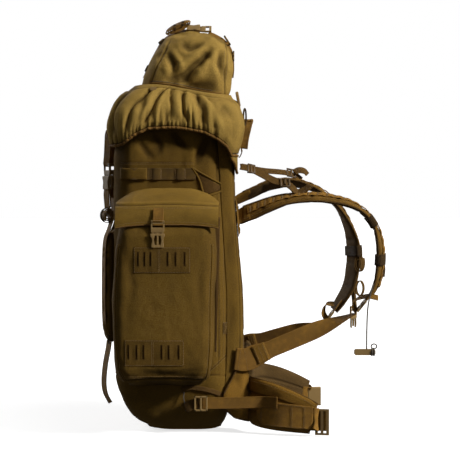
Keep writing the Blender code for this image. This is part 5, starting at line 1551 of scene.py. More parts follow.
def front_pieces():
    rows = [(-0.1650, 0.106, 0.204, 0.422, 0.02), (-0.1615, 0.116, 0.194, 0.434, 0.02),
            (-0.1540, 0.121, 0.188, 0.439, 0.02), (-0.1449, 0.119, 0.189, 0.437, 0.02)]
    pad = block(rows).make("front_block", None, BAG_CLOTH)
    pad = inflate(pad, voxel=0.0055, pressure=3.0, cap=0.004)

    def folds(co, norm):
        lift = 0.0016 * layers(co, (0.05, 0.05, 0.04), 81) + 0.0020 * noise(co, (0.05, 0.09, 0.020), 82)
        lift = lift * ease(-co[:, 0], 0.146, 0.156)
        d = np.abs(co[:, 2] - 0.392)
        g = groove(d, 0.0030, 0.0018) * ease(-co[:, 0], 0.150, 0.158)
        return lift + g, lift / 0.003 + g / 0.0018

    finish_padded(pad, "front_pocket_skin", "pack", BAG_CLOTH, ["front_pocket"], folds)
    webs, threads, rings, rolls = Geo(), Geo(), Geo(), Geo()
    for tag, sign in SIDES:
        y = sign * 0.100
        # webbing below each lid buckle, with its spare length rolled up
        line = [(-0.1600, y, 0.5310), (-0.1612, y, 0.5180), (-0.1600, y, 0.5000), (-0.1590, y, 0.4880)]
        webbing(rolls, line, (0.5 * sign, 0.87, 0))
        turn = np.linspace(0, 4.6 * np.pi, 90)
        radius = 0.0034 + 0.0078 * turn / turn[-1]
        spiral = np.column_stack([-0.1600 + radius * np.cos(turn) * 0.92, np.full(90, y),
                                  0.4720 + radius * np.sin(turn) * 1.15])
        sweep(rolls, spiral, (0.45 * sign, 0.89, 0), web_section(0.0245, 0.0014))
        band = np.linspace(0, 2 * np.pi, 40)
        loop = np.column_stack([-0.1600 + 0.0132 * np.cos(band), np.full(40, y),
                                0.4720 + 0.0156 * np.sin(band)])
        sweep(rings, loop, (0.45 * sign, 0.89, 0), web_section(0.008, 0.0014))
        # long strap down the front, a ring at its foot and a broad loose tail
        line = [(-0.1472, y, 0.5100), (-0.1476, y, 0.4750), (-0.1560, y, 0.4440), (-0.1660, y, 0.4100),
                (-0.1682, y, 0.3200), (-0.1672, y, 0.2400), (-0.1610, y, 0.2140), (-0.1560, y, 0.2080)]
        webbing(webs, [(a + 0.0012, b * 1.05, c) for a, b, c in line], (0.36 * sign, 0.93, 0), step=0.006)
        ring = [(-0.0130, 0.0), (-0.0130, -0.0120), (-0.0105, -0.0165), (0.0105, -0.0165), (0.0130, -0.0120),
                (0.0130, 0.0)]
        path = np.array([(-0.1560, y + a, 0.2085 + b) for a, b in ring + ring[:1]])
        tube(rings, resample(path, 0.002), 0.0017, 8, up=(1, 0, 0))
        tail = [(-0.1556, y, 0.1960), (-0.1580, y, 0.1780), (-0.1640, y * 1.01, 0.1450),
                (-0.1672, y * 1.03, 0.1080),
                (-0.1640, y * 1.05, 0.0820), (-0.1530, y * 1.06, 0.0600)]
        if sign < 0:
            packed = webbing(webs, tail, (-0.45, 0.89, 0.0), width=0.0265)
            for off in (-0.009, 0.009):
                p = packed[-6:, :3] + np.array([-0.0012, off, 0])
                stitches(threads, p, np.tile([-1.0, 0, 0], (len(p), 1)))
        else:
            webbing(webs, [(-0.1556, y, 0.1960), (-0.1500, y, 0.1800), (-0.1462, y, 0.1500)], (0, 1, 0))
    webs.make("front_straps", "pack", WEB, ["front_strap_tail"], "webbing")
    rolls.make("closure_strap_rolls", "pack", WEB, ["lid_webbing_R", "lid_webbing_L"], "webbing")
    rings.make("front_rings_and_keepers", "pack", ELASTIC)
    threads.make("front_stitching", "pack", THREAD)


def panel_rear_x(z):
    """How far to the rear the back panel's face stands at each height."""
    return np.interp(z, [row[0] for row in PANEL_REAR], [row[1] for row in PANEL_REAR])


def turned_outward(grid, out, *fields):
    """The sheet and its fields, with the columns reversed where its faces would look inward."""
    facing = np.cross(np.gradient(grid, axis=1), np.gradient(grid, axis=0))
    sheets = (grid, out) + fields
    return tuple(s[:, ::-1] for s in sheets) if (facing * out).sum() < 0 else sheets


def back_pieces():
    z = np.linspace(0.071, 0.597, 150)
    y = np.linspace(0.121, -0.121, 80)[::-1]
    gy, gz = np.meshgrid(y, z)
    rear = panel_rear_x(gz)
    edge = np.minimum(0.121 - np.abs(gy), np.minimum(gz - 0.071, 0.597 - gz))
    drop = 0.010 * (1 - ease(edge, 0.0, 0.016)) ** 1.2
    channel = 0.0055 * np.exp(-((gy / 0.016) ** 2)) * ease(gz, 0.18, 0.24)
    cross = 0.0
    for level in (0.20, 0.285, 0.37, 0.535):
        cross = cross + 0.0036 * np.exp(-(((gz - level - 0.02 * np.abs(gy) / 0.12) / 0.0045) ** 2)) * ease(np.abs(gy), 0.012, 0.02)
    base = np.stack([rear - drop - channel - cross, gy, gz], -1)
    lift = 0.0008 * layers(base, 0.03, 91)
    base[..., 0] += lift - 0.0004
    # painted shade in the channel, the cross grooves and round the rolled edge
    fold = -np.clip((channel + cross + drop * 0.6) / 0.005, 0, 1)
    geo = Geo()
    shell(geo, base, False, 0.0150, fold=fold, lean=np.tile([1.0, 0, 0], base.shape[:2] + (1,)))
    back = geo.make("back_panel_skin", "pack", MESH, ["back_panel"], "padding")
    edge_line = np.vstack([base[0], base[1:, -1], base[-1, ::-1][1:], base[::-1, 0][1:]])
    trim = Geo()
    tube(trim, resample(edge_line, 0.005) - np.array([0.0015, 0, 0]), 0.0026, 8)
    trim.make("back_panel_binding", "pack", DARK_WEB, slot="webbing")
    # yoke across the shoulders, with webbing over it
    yoke, webs, threads = Geo(), Geo(), Geo()
    gy, gz = np.meshgrid(np.linspace(-0.111, 0.111, 60), np.linspace(0.426, 0.504, 26))
    rear = panel_rear_x(gz)
    edge = ease(np.minimum(0.111 - np.abs(gy), np.minimum(gz - 0.426, 0.504 - gz)), 0, 0.008)
    pts = np.stack([rear + 0.0012 + 0.0032 * edge, gy, gz], -1)
    # painted shade: a fixed fold value of -0.2 darkens the yoke
    shell(yoke, pts, False, 0.0010, fold=0.0 * gy - 0.2, lean=np.tile([1.0, 0, 0], gy.shape + (1,)))
    yoke.make("yoke_skin", "pack", STRAP_CLOTH, ["yoke"], "webbing")
    for off in (0.436, 0.494):
        p = np.array([(panel_rear_x(off) + 0.0046, a, off)
                      for a in np.linspace(-0.102, 0.102, 50)])
        stitches(threads, p, np.tile([1.0, 0, 0], (50, 1)))
    for tag, sign in SIDES:
        for level in np.arange(0.436, 0.50, 0.016):
            xx = panel_rear_x(level) + 0.0050
            sweep(webs, np.array([(xx, sign * a, level) for a in np.linspace(0.012, 0.052, 8)]), (0, 0, 1),
                  web_section(0.010, 0.0016))
    webs.make("yoke_ladder", "pack", DARK_WEB, slot="webbing")
    threads.make("back_stitching", "pack", THREAD)
    rows = [(0.1432, 0.086, 0.040, 0.184, 0.016), (0.1490, 0.086, 0.040, 0.184, 0.016),
            (0.1540, 0.080, 0.046, 0.178, 0.016), (0.1562, 0.068, 0.058, 0.166, 0.016)]
    pad = block(rows).make("lumbar_block", None, MESH)
    pad = inflate(pad, voxel=0.005, pressure=4.0, cap=0.004)

    def folds(co, norm):
        lift = 0.0007 * layers(co, 0.03, 93)
        d = np.minimum(np.abs(np.abs(co[:, 1]) - 0.030), 1)
        g = -0.0022 * np.exp(-((d / 0.004) ** 2)) * ease(co[:, 0], 0.150, 0.156)
        return lift + g, lift / 0.003 + g / 0.0022

    finish_padded(pad, "lumbar_pad_skin", "pack", MESH, ["lumbar_pad"], folds)


def side_cloths():
    """Cloth that joins the bag to the back panel, and the gussets at the belt's roots."""
    for tag, sign in SIDES:
        heights = np.linspace(0.082, 0.640, 98)
        _, back, _, _ = columns(BAG, heights, 0.010)
        rear = panel_rear_x(heights)
        rows = []
        for z, b, r in zip(heights, back, rear):
            line = [(b - 0.013, 0.1524, z), (b + 0.005, 0.1472, z), ((b + r) / 2 + 0.004, 0.1400, z),
                    (r - 0.0030, 0.1290, z), (r - 0.0040, 0.1200, z)]
            rows.append(resample(np.array(spline(line, 0.002)), 0.0026)[:20])
        count = min(len(r) for r in rows)
        grid = np.array([r[np.linspace(0, len(r) - 1, count).round().astype(int)] for r in rows])
        out = normals(grid, False)
        if (out[..., 1] > 0).mean() < 0.5:
            out = -out
        fade = ease(np.minimum(np.arange(count), count - 1 - np.arange(count)), 0, 4)[None]
        lift = 0.0014 * layers(grid, (0.03, 0.03, 0.05), 95 + sign) * fade
        crease = groove(np.abs(np.arange(count) - count * 0.62) * 0.0026, 0.0018, 0.0013)[None] + 0 * lift
        grid = grid + out * (lift + crease)[..., None]
        grid[..., 1] *= sign
        out = out * np.array([1, sign, 1])
        grid, out, lift, crease = turned_outward(grid, out, lift, crease)
        geo = Geo()
        shell(geo, grid, False, 0.0018, fold=lift / 0.002 + crease / 0.0014, lean=out)
        geo.make("rear_side_cloth_" + tag, "pack", BAG_CLOTH, slot="pack_fabric")
        # gusset from the bag's corner to the root of the belt's wing
        across = spline([(0.096, 0.1578), (0.120, 0.1528), (0.139, 0.1452), (0.1515, 0.1335)], 0.002)
        top = np.interp(across[:, 0], [0.096, 0.124, 0.143, 0.152], [0.086, 0.136, 0.156, 0.126])
        low = np.interp(across[:, 0], [0.096, 0.120, 0.152], [0.056, 0.034, 0.024])
        t = np.linspace(0, 1, 40)[:, None]
        grid = np.stack([across[:, 0] + 0 * t, sign * across[:, 1] + 0 * t, low + (top - low) * t], -1)
        lean = unit(np.cross(np.gradient(grid, axis=1), np.gradient(grid, axis=0)))
        if lean[20, 10, 1] * sign < 0:
            grid, lean = grid[:, ::-1], -lean[:, ::-1]
        lift = 0.0016 * layers(grid, (0.03, 0.03, 0.02), 97) + 0.0015 * noise(grid, (0.012, 0.03, 0.06), 98)
        grid = grid + lean * lift[..., None]
        geo = Geo()
        shell(geo, grid, False, 0.0020, fold=lift / 0.0022, lean=lean)
        made = geo.make("belt_gusset_" + tag, None, BELT_CLOTH, slot="pack_fabric")
        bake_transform(made)
        edge = Geo()
        for row in (0, -1):
            tube(edge, resample(grid[row], 0.003), 0.0020, 8)
        made = edge.make("belt_gusset_edge_" + tag, None, DARK_WEB, slot="webbing")
        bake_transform(made)


# ---------------------------------------------------------------- harness
def strap_rows(rows, step=0.004):
    lean = 0.50 if rows[0][1] > 0 else 0.24
    packed = spline([(x, y, z, lean * float(ease(0.50 - z, 0.0, 0.12)) if x > 0.30 else 0.0, sy, sz, w, t)
                     for x, y, z, sy, sz, w, t in rows], step)
    return packed


def shoulder_straps():
    for tag, sign in SIDES:
        rows = STRAP_R if tag == "R" else STRAP_L
        packed = strap_rows(rows)
        pts = packed[:, :3]
        along, side, normal = frames(pts, packed[:, 3:6])
        outward = 1.0 if tag == "R" else -1.0
        w, t = packed[:, 6], packed[:, 7]
        count = len(pts)
        s = np.linspace(-1, 1, 25)
        dist = np.concatenate([[0], np.cumsum(np.linalg.norm(np.diff(pts, axis=0), axis=1))])
        channel = np.zeros(count)
        for at in np.arange(0.05, dist[-1] - 0.04, 0.055):
            channel += np.exp(-(((dist - at) / 0.0035) ** 2))
        profile = (1 - np.abs(s) ** 3.2) ** 0.55
        thick = (t / 2)[:, None] * (0.30 + 0.70 * profile[None]) * (1 - 0.32 * np.minimum(channel, 1)[:, None] * profile[None])
        grid3 = pts[:, None] + side[:, None] * (s[None, :, None] * (w / 2)[:, None, None])
        rough = 0.0006 * layers(grid3, 0.016, 101) + 0.0008 * noise(grid3, 0.03, 102)
        body = "harness_" + tag
        for name, face, finish in (("shoulder_pad_", 1.0, STRAP_CLOTH), ("shoulder_mesh_", -1.0, MESH)):
            grid = grid3 + (normal * outward * face)[:, None] * (thick + rough)[..., None]
            out = np.tile((normal * outward * face)[:, None], (1, 25, 1))
            grid, out = turned_outward(grid, out)
            geo = Geo()
            # painted shade in the stitched channels across the pad
            fold = -0.7 * np.minimum(channel, 1)[:, None] * profile[None] + rough / 0.002
            shell(geo, grid, False, 0.0012, fold=fold, lean=out)
            made = geo.make(name + tag, body, finish, ["shoulder_strap_" + tag] if face > 0 else (),
                            "padding")
        trim, webs, threads, dark = Geo(), Geo(), Geo(), Geo()
        for edge in (-1, 1):
            line = pts + side * (edge * (w / 2 - 0.0006))[:, None]
            tube(trim, resample(line, 0.003), 0.0022, 8)
            inner = pts + side * (edge * (w / 2 - 0.0055))[:, None] + normal * (outward * t * 0.42)[:, None]
            stitches(threads, inner, normal * outward)
        # webbing sewn down the strap, slack between its bar tacks
        first, last = int(count * 0.03), int(count * 0.93)
        tack = 0.5 - 0.5 * np.cos(2 * np.pi * dist / 0.019)
        rise = t * 0.5 + 0.0003 + 0.0021 * np.clip(tack, 0, 1) ** 0.5
        line = (pts + normal * (outward * rise)[:, None])[first:last]
        sweep(webs, line, side[first:last], web_section(0.0252, 0.0017))
        for k in np.arange(dist[first] // 0.019 * 0.019 + 0.019, dist[last - 1], 0.019):
            i = int(np.argmin(np.abs(dist - k)))
            for shift in (-0.0012, 0.0, 0.0012):
                bar = np.array([pts[i] + side[i] * a + along[i] * shift + normal[i] * outward * (t[i] / 2 + 0.0024)
                                for a in np.linspace(-0.011, 0.011, 14)])
                stitches(threads, bar, np.tile(normal[i] * outward, (14, 1)), pitch=0.0016, length=0.0015)
        for k, wide in ((0.62, 0.030), (0.80, 0.026)) if tag == "R" else ((0.70, 0.026),):
            i = int(count * k)
            h = max(2, int(wide / 0.004 / 2))
            span = slice(i - h, i + h + 1)
            ring_sec = []
            for wi, ti in zip(w[span], t[span]):
                a, b = wi / 2 + 0.0022, ti / 2 + 0.0032
                ang = 2 * np.pi * np.arange(28) / 28
                ring_sec.append(np.stack([a * np.sign(np.cos(ang)) * np.abs(np.cos(ang)) ** 0.35,
                                          b * np.sign(np.sin(ang)) * np.abs(np.sin(ang)) ** 0.6], 1))
            sweep(dark, pts[span], side[span], np.array(ring_sec))
        # the strap's root, sewn into the back panel
        root = Geo()
        first_row = pts[0]
        anchor_x = float(panel_rear_x(first_row[2] - 0.012))
        start_point = np.array((anchor_x - 0.002, first_row[1] * 0.96, first_row[2] - 0.012))
        line = spline([tuple(start_point) + tuple(side[0] * (1, 1, 0.7)) + (w[0] * 0.92, 0.0075),
                       tuple((start_point + first_row) / 2) + tuple(side[0]) + (w[0] * 0.97, 0.0085),
                       tuple(pts[4]) + tuple(side[4]) + (w[4] * 1.01, t[4] * 0.98)], 0.003)
        ang = 2 * np.pi * np.arange(32) / 32
        sections = np.array([np.stack([a / 2 * np.sign(np.cos(ang)) * np.abs(np.cos(ang)) ** 0.5,
                                       b / 2 * np.sign(np.sin(ang)) * np.abs(np.sin(ang)) ** 0.8], 1)
                             for a, b in zip(line[:, 6], line[:, 7])])
        sweep(root, line[:, :3], line[:, 3:6], sections)
        made = root.make("shoulder_root_" + tag, None, STRAP_CLOTH, slot="padding")
        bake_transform(made)
        trim.make("shoulder_binding_" + tag, body, DARK_WEB, slot="webbing")
        webs.make("shoulder_webbing_" + tag, body, PAINTED_LIGHT_WEB, slot="webbing")
        threads.make("shoulder_stitching_" + tag, body, THREAD)
        dark.make("shoulder_keeper_" + tag, body, ELASTIC)


def tri_glide(geo, centre, across, along, width=0.030, length=0.022, thick=0.0034):
    u, v = unit(np.array(across, float)), unit(np.array(along, float))
    v = unit(v - u * (u @ v))
    w, l, b = width / 2, length / 2, 0.0038
    for outline in ([(-w, -l), (-w + b, -l), (-w + b, l), (-w, l)],
                    [(w - b, -l), (w, -l), (w, l), (w - b, l)],
                    [(-w, -l), (w, -l), (w, -l + b), (-w, -l + b)],
                    [(-w, l - b), (w, l - b), (w, l), (-w, l)],
                    [(-w, -b * 0.5), (w, -b * 0.5), (w, b * 0.5), (-w, b * 0.5)]):
        box_plate(geo, outline, centre, u, v, -thick / 2, thick / 2, bevel=0.0007)


def lifters_and_lower():
    lifters = {
        "R": [(0.1335, -0.0600, 0.5790), (0.1560, -0.0630, 0.5740), (0.1800, -0.0720, 0.5620),
              (0.2080, -0.0850, 0.5480), (0.2350, -0.0960, 0.5420)],
        "L": [(0.1335, 0.0600, 0.5790), (0.1600, 0.0650, 0.5740), (0.1900, 0.0760, 0.5690),
              (0.2250, 0.0880, 0.5660), (0.2550, 0.0950, 0.5620)],
    }
    for tag, sign in SIDES:
        body = "harness_" + tag
        webs, parts, threads, patch = Geo(), Geo(), Geo(), Geo()
        line = lifters[tag]
        packed = webbing(webs, line, (0, 0.80, 0.60 if tag == "R" else 0.45), width=0.0225, step=0.003)
        along, side, normal = frames(packed[:, :3], packed[:, 3:6])
        tip = np.array(line[-1])
        # the free end comes back through the glide and stands off the strap
        if tag == "R":
            spare = [tip + (0.0, 0.0, 0.002), tip + (0.020, -0.006, -0.018), tip + (0.034, -0.008, -0.016),
                     tip + (0.044, -0.008, -0.010), tip + (0.051, -0.006, -0.004)]
            root = [tip, tip + (0.012, -0.006, -0.010), tip + (0.022, -0.010, -0.020)]
        else:
            spare = [tip + (0.002, 0.0, 0.003), tip + (0.014, 0.002, 0.008), tip + (0.026, 0.003, 0.006),
                     tip + (0.034, 0.003, -0.002)]
            root = [tip, tip + (0.010, 0.002, -0.006), tip + (0.020, 0.003, -0.014)]
        webbing(webs, spare, (0, 0.80, 0.60), width=0.0225, step=0.003)
        webbing(webs, root, (0, 0.80, 0.60), width=0.0225, step=0.003)
        tri_glide(parts, tip + np.array([-0.004, 0, 0.0015]), (0, 0.80, 0.60), along[-1])
        k = int(len(packed) * 0.22)
        tri_glide(parts, packed[k, :3], (0, 0.80, 0.60), along[k], length=0.018)
        webs.make("load_lifter_webbing_" + tag, body, DARK_WEB, ["load_lifter_" + tag], "webbing")
        parts.make("load_lifter_glides_" + tag, body, BLACK_PLASTIC, slot="buckle_plastic")
        # lower webbing from the strap's lock to the pack's lower corner
        rows = STRAP_R if tag == "R" else STRAP_L
        end, before = np.array(rows[-1][:3]), np.array(rows[-2][:3])
        run = unit(end - before)
        top = end + run * 0.0395
        low = np.array((0.1445, sign * 0.150, 0.160))
        strap_end = Geo()
        webbing(strap_end, [end - run * 0.0300, end - run * 0.0100, end + run * 0.0060, end + run * 0.0210],
                (0, 1.0, 0),
                width=0.0360, thick=0.0026, step=0.004)
        strap_end.make("strap_end_webbing_" + tag, body, WEB, slot="webbing")
        flat = unit(np.array((low[0] - top[0], 0, low[2] - top[2])))
        upright = np.array((-flat[2], 0, flat[0]))
        upright = -upright if upright[2] < 0 else upright
        path, turns, widths = [], [], []
        for t in (0.0, 0.12, 0.28, 0.45, 0.62, 0.78, 0.90, 1.0):
            path.append(top + (low - top) * t)
            twist = min(1.0, t / 0.5)
            turns.append(np.array((0, 1.0, 0)) * (1 - twist) + upright * twist)
            widths.append(0.038 + (0.012 * ease(t, 0.84, 0.92)))
        path.append(low + np.array((-0.024, -sign * 0.004 * -1, 0.002)))
        turns.append(np.array((0, 0, 1.0)))
        widths.append(0.048)
        webs2 = Geo()
        packed = webbing(webs2, path, turns, width=0.038, thick=0.0019, step=0.005, widths=widths)
        along, side, normal = frames(packed[:, :3], packed[:, 3:6])
        total = len(packed)
        a, b = int(total * 0.74), int(total * 0.86)
        sweep(patch, packed[a:b, :3], side[a:b], web_section(0.0415, 0.0052))
        for k in (a + 1, (a + b) // 2, b - 2):
            for face in (-1, 1):
                bar = np.array([packed[k, :3] + side[k] * s + normal[k] * face * 0.0029 for s in np.linspace(-0.018, 0.018, 16)])
                stitches(threads, bar, np.tile(normal[k] * face, (16, 1)))
        for k in (b + 3, total - 3):
            for face in (-1, 1):
                bar = np.array([packed[k, :3] + side[k] * s + normal[k] * face * 0.0012 for s in np.linspace(-0.021, 0.021, 16)])
                stitches(threads, bar, np.tile(normal[k] * face, (16, 1)))
        webs2.make("lower_webbing_skin_" + tag, body, WEB, ["lower_webbing_" + tag], "webbing")
        patch.make("lower_sleeve_" + tag, body, STRAP_CLOTH, slot="webbing")
        threads.make("lower_stitching_" + tag, body, THREAD)


def belt():
    for tag, sign in SIDES:
        body = "wing_" + tag
        packed = spline([(x, sign * y, (lo + hi) / 2, hi - lo, th) for x, y, lo, hi, th in WING], 0.004)
        pts = packed[:, :3]
        along, side, normal = frames(pts, (0, 0, 1.0))
        count = len(pts)
        h, th = packed[:, 3], packed[:, 4]
        s = np.linspace(-1, 1, 40)
        profile = (1 - np.abs(s) ** 4) ** 0.5
        seams = sum(np.exp(-(((s - c) / 0.045) ** 2)) for c in (-0.42, 0.36))
        outer_sign = 1.0 if (normal[count // 2, 1] * sign) > 0 else -1.0
        grid3 = pts[:, None] + side[:, None] * (s[None, :, None] * (h / 2 - 0.001)[:, None, None])
        rough = 0.0008 * layers(grid3, 0.03, 111) + 0.0007 * noise(grid3, (0.02, 0.02, 0.010), 112)
        for name, face, finish in (("wing_cloth_", 1.0, BELT_CLOTH), ("wing_mesh_", -1.0, MESH)):
            thick = (th / 2)[:, None] * (0.22 + 0.78 * profile[None]) * (1 - 0.30 * np.minimum(seams, 1)[None])
            thick = thick * (1 - 0.5 * ease(np.arange(count), count - 6, count - 1))[:, None]
            lean = np.tile((normal * outer_sign * face)[:, None], (1, 40, 1))
            grid = grid3 + lean * (thick + rough)[..., None]
            grid, lean = turned_outward(grid, lean)
            geo = Geo()
            # painted shade along the two stitched seams
            shell(geo, grid, False, 0.0014,
                  fold=-0.8 * np.minimum(seams, 1)[None] * np.ones((count, 1)) + rough / 0.002,
                  lean=lean)
            made = geo.make(name + tag, body, finish, ["hip_wing_" + tag] if face > 0 else (), "padding")
        trim, webs, threads = Geo(), Geo(), Geo()
        for edge in (-1, 1):
            line = pts + side * (edge * (h / 2 - 0.0016))[:, None]
            tube(trim, resample(line, 0.003), 0.0024, 8)
            inner = pts + side * (edge * (h / 2 - 0.007))[:, None] + normal * (outer_sign * th * 0.44)[:, None]
            stitches(threads, inner, normal * outer_sign)
        end = pts[-1]
        # broad webbing sewn along the wing to the buckle, its rear end cut on a slant
        first = int(count * 0.30)
        span = slice(first, count)
        off = normal[span] * (outer_sign * (th[span] / 2 + 0.0013))[:, None]
        mid_z = 0.040 + (pts[span, 2] - 0.040) * 0.25
        line = pts[span] + off
        line[:, 2] = mid_z
        wide = np.interp(np.linspace(0, 1, len(line)), [0, 0.10, 0.75, 1.0], [0.018, 0.052, 0.052, 0.048])
        sections = np.tile(web_section(0.05, 0.0018), (len(line), 1, 1))
        sections[:, :, 0] *= (wide / 0.05)[:, None]
        sweep(webs, line, (0, 0, 1.0), sections)
        for k, span_w in ((3, 0.016), (len(line) - 6, 0.022), (len(line) // 2 + 4, 0.023)):
            for shift in (-0.0015, 0.0015):
                bar = np.array([line[k] + np.array((0, 0, a)) + along[first + k] * shift
                                + normal[first + k] * outer_sign * 0.0012 for a in np.linspace(-span_w, span_w, 18)])
                stitches(threads, bar, np.tile(normal[first + k] * outer_sign, (18, 1)), pitch=0.0024,
                         length=0.0019)
        for edge in (-1, 1):
            bar = line[3:-4] + np.array((0, 0, 1.0)) * (edge * (wide[3:-4] / 2 - 0.003))[:, None] + normal[first + 3:count - 4] * outer_sign * 0.0012
            stitches(threads, bar, normal[first + 3:count - 4] * outer_sign)
        # end loop round the buckle's bar
        run = unit(pts[-1] - pts[-3])
        tip = end + run * 0.0050
        loop = [line[-1], line[-1] + run * 0.0055, tip + run * 0.0040,
                np.array(end) - normal[-1] * outer_sign * 0.004 + run * 0.003,
                np.array(end) - normal[-1] * outer_sign * 0.006 - run * 0.012]
        loop = np.array(loop, float)
        loop[:, 2] = [mid_z[-1], mid_z[-1], 0.034, 0.034, 0.036]
        webbing(webs, loop, (0, 0, 1.0), width=0.046, step=0.003)
        if tag == "R":
            tail = [np.array((*(end - normal[-1] * outer_sign * 0.0048 + run * a)[:2],
                              0.0330)) for a in (-0.030, -0.010, 0.010, 0.030)]
            webbing(webs, tail, (0, 0, 1.0), width=0.044, step=0.003)
        trim.make("wing_binding_" + tag, body, DARK_WEB, slot="webbing")
        webs.make("wing_webbing_" + tag, body, PAINTED_LIGHT_WEB, slot="webbing")
        threads.make("wing_stitching_" + tag, body, THREAD)
        # inner cloth from beside the lumbar pad to the wing's mesh, so the root is closed on the wearer's side
        k = 6
        meet = pts[k] - normal[k] * outer_sign * th[k] * 0.30
        begin = np.array((0.1375, sign * 0.0900, meet[2]))
        across = spline([tuple(begin), tuple((begin + meet) / 2 + (0.0035, 0, 0)), tuple(meet)], 0.0025)
        f = np.linspace(0, 1, len(across))
        half = (h[k] / 2 - 0.003) * (0.86 + 0.14 * f)
        u = np.linspace(-1, 1, 28)
        grid = np.repeat(across[None], 28, 0) + 0.0
        grid[..., 2] = across[None, :, 2] + u[:, None] * half[None]
        lean = unit(np.cross(np.gradient(grid, axis=1), np.gradient(grid, axis=0)))
        if lean[14, len(across) // 2, 0] < 0:
            grid, lean = grid[:, ::-1], -lean[:, ::-1]
        lift = 0.0010 * layers(grid, 0.03, 113)
        grid = grid + lean * lift[..., None]
        geo = Geo()
        shell(geo, grid, False, 0.0040, fold=lift / 0.002, lean=lean)
        made = geo.make("wing_root_cloth_" + tag, None, MESH, slot="padding")
        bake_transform(made)
        # webbing that steadies the belt against the pack, bending at the wing's root
        geo = Geo()
        path = [(0.0475, 0.1694, 0.068), (0.0540, 0.1706, 0.068), (0.0640, 0.1718, 0.068),
                (0.1000, 0.1708, 0.068), (0.1400, 0.1706, 0.069),
                (0.1760, 0.1712, 0.070), (0.1950, 0.1802, 0.071), (0.2120, 0.1898, 0.071)]
        webbing(geo, [(x, sign * (y + 0.0012 * (x < 0.06)), z) for x, y, z in path], (0, 0, 1.0), step=0.004)
        spare = Geo()
        webbing(spare, [(0.0470, sign * 0.1740, 0.0690), (0.0380, sign * 0.1765, 0.0685),
                        (0.0250, sign * 0.1770, 0.0640),
                        (0.0130, sign * 0.1735, 0.0560)], (0, 0.15, 1.0), width=0.0215, step=0.003)
        spare.make("stabiliser_tail_" + tag, "stabiliser_lock_" + tag, DARK_WEB, slot="webbing")
        ladder = Geo()
        tri_glide(ladder, (0.0470, sign * 0.1800, 0.0680), (0, 0, 1.0), (1.0, 0, 0), width=0.0330,
                  length=0.0290, thick=0.0040)
        ladder.make("stabiliser_ladder_" + tag, "stabiliser_lock_" + tag, PLASTIC, slot="buckle_plastic",
                    smooth=False)
        made = geo.make("stabiliser_webbing_" + tag, None, WEB, slot="webbing")
        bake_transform(made)
        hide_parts("stabiliser_" + tag)


# ---------------------------------------------------------------- buckles, cords, small things
def socket_half(geo, mouth, u, v, width=0.030, length=0.030, thick=0.0096):
    w, h, p = width / 2, thick / 2, 0.0023
    outline = [(-w, -0.0010), (-w, -0.0065), (-w * 0.80, -0.0105), (-w * 0.74, -0.0150), (-w * 0.80, -0.0200),
               (-w * 0.86, -0.0240), (-w * 0.80, -length), (w * 0.80, -length), (w * 0.86, -0.0240),
               (w * 0.80, -0.0200), (w * 0.74, -0.0150), (w * 0.80, -0.0105), (w, -0.0065), (w, -0.0010),
               (w * 0.5, 0.0), (-w * 0.5, 0.0)]
    box_plate(geo, outline, mouth, u, v, -h, -h + p, bevel=0.0006)
    for side in (-1, 1):
        rail = [(w, -0.0008), (w, -0.0065), (w * 0.82, -0.0105), (w * 0.76, -0.0150), (w * 0.82, -0.0200),
                (w * 0.88, -0.0240), (w * 0.82, -length), (w * 0.42, -length), (w * 0.42, -0.0235),
                (w * 0.52, -0.0150),
                (w * 0.42, -0.0060), (w * 0.42, -0.0008)]
        box_plate(geo, [(side * a, b) for a, b in rail], mouth, u, v, h - p, h, bevel=0.0006)
        box_plate(geo, [(side * a, b) for a, b in rail], mouth, u, v, -h - 0.0002, -h + p - 0.0002,
                  bevel=0.0006)
    for top, low in ((-0.0004, -0.0052), (-0.0242, -length)):
        box_plate(geo, [(-w * 0.5, low), (w * 0.5, low), (w * 0.5, top), (-w * 0.5, top)], mouth, u, v, h - p,
                  h - 0.0002)
    box_plate(geo, [(-w * 0.13, -0.0245), (w * 0.13, -0.0245), (w * 0.10, -0.0050), (-w * 0.10, -0.0050)],
              mouth, u, v,
              h - p, h - 0.0003)
    for side in (-1, 1):
        a, b = side * (w - 0.0026), side * w
        box_plate(geo, [(a, -0.0012), (a, -0.0062), (b, -0.0062), (b, -0.0012)], mouth, u, v, -h + 0.0004,
                  h - 0.0004)
        a, b = side * w * 0.55, side * w * 0.80
        box_plate(geo, [(a, -0.0240), (a, -length + 0.0003), (b, -length + 0.0003), (b, -0.0240)], mouth, u,
                  v,
                  -h + 0.0004, h - 0.0004)
    box_plate(geo, [(-w * 0.8, -length + 0.0040), (-w * 0.8, -length + 0.0003), (w * 0.8, -length + 0.0003),
                    (w * 0.8, -length + 0.0040)], mouth, u, v, -h + 0.0004, h - 0.0004)


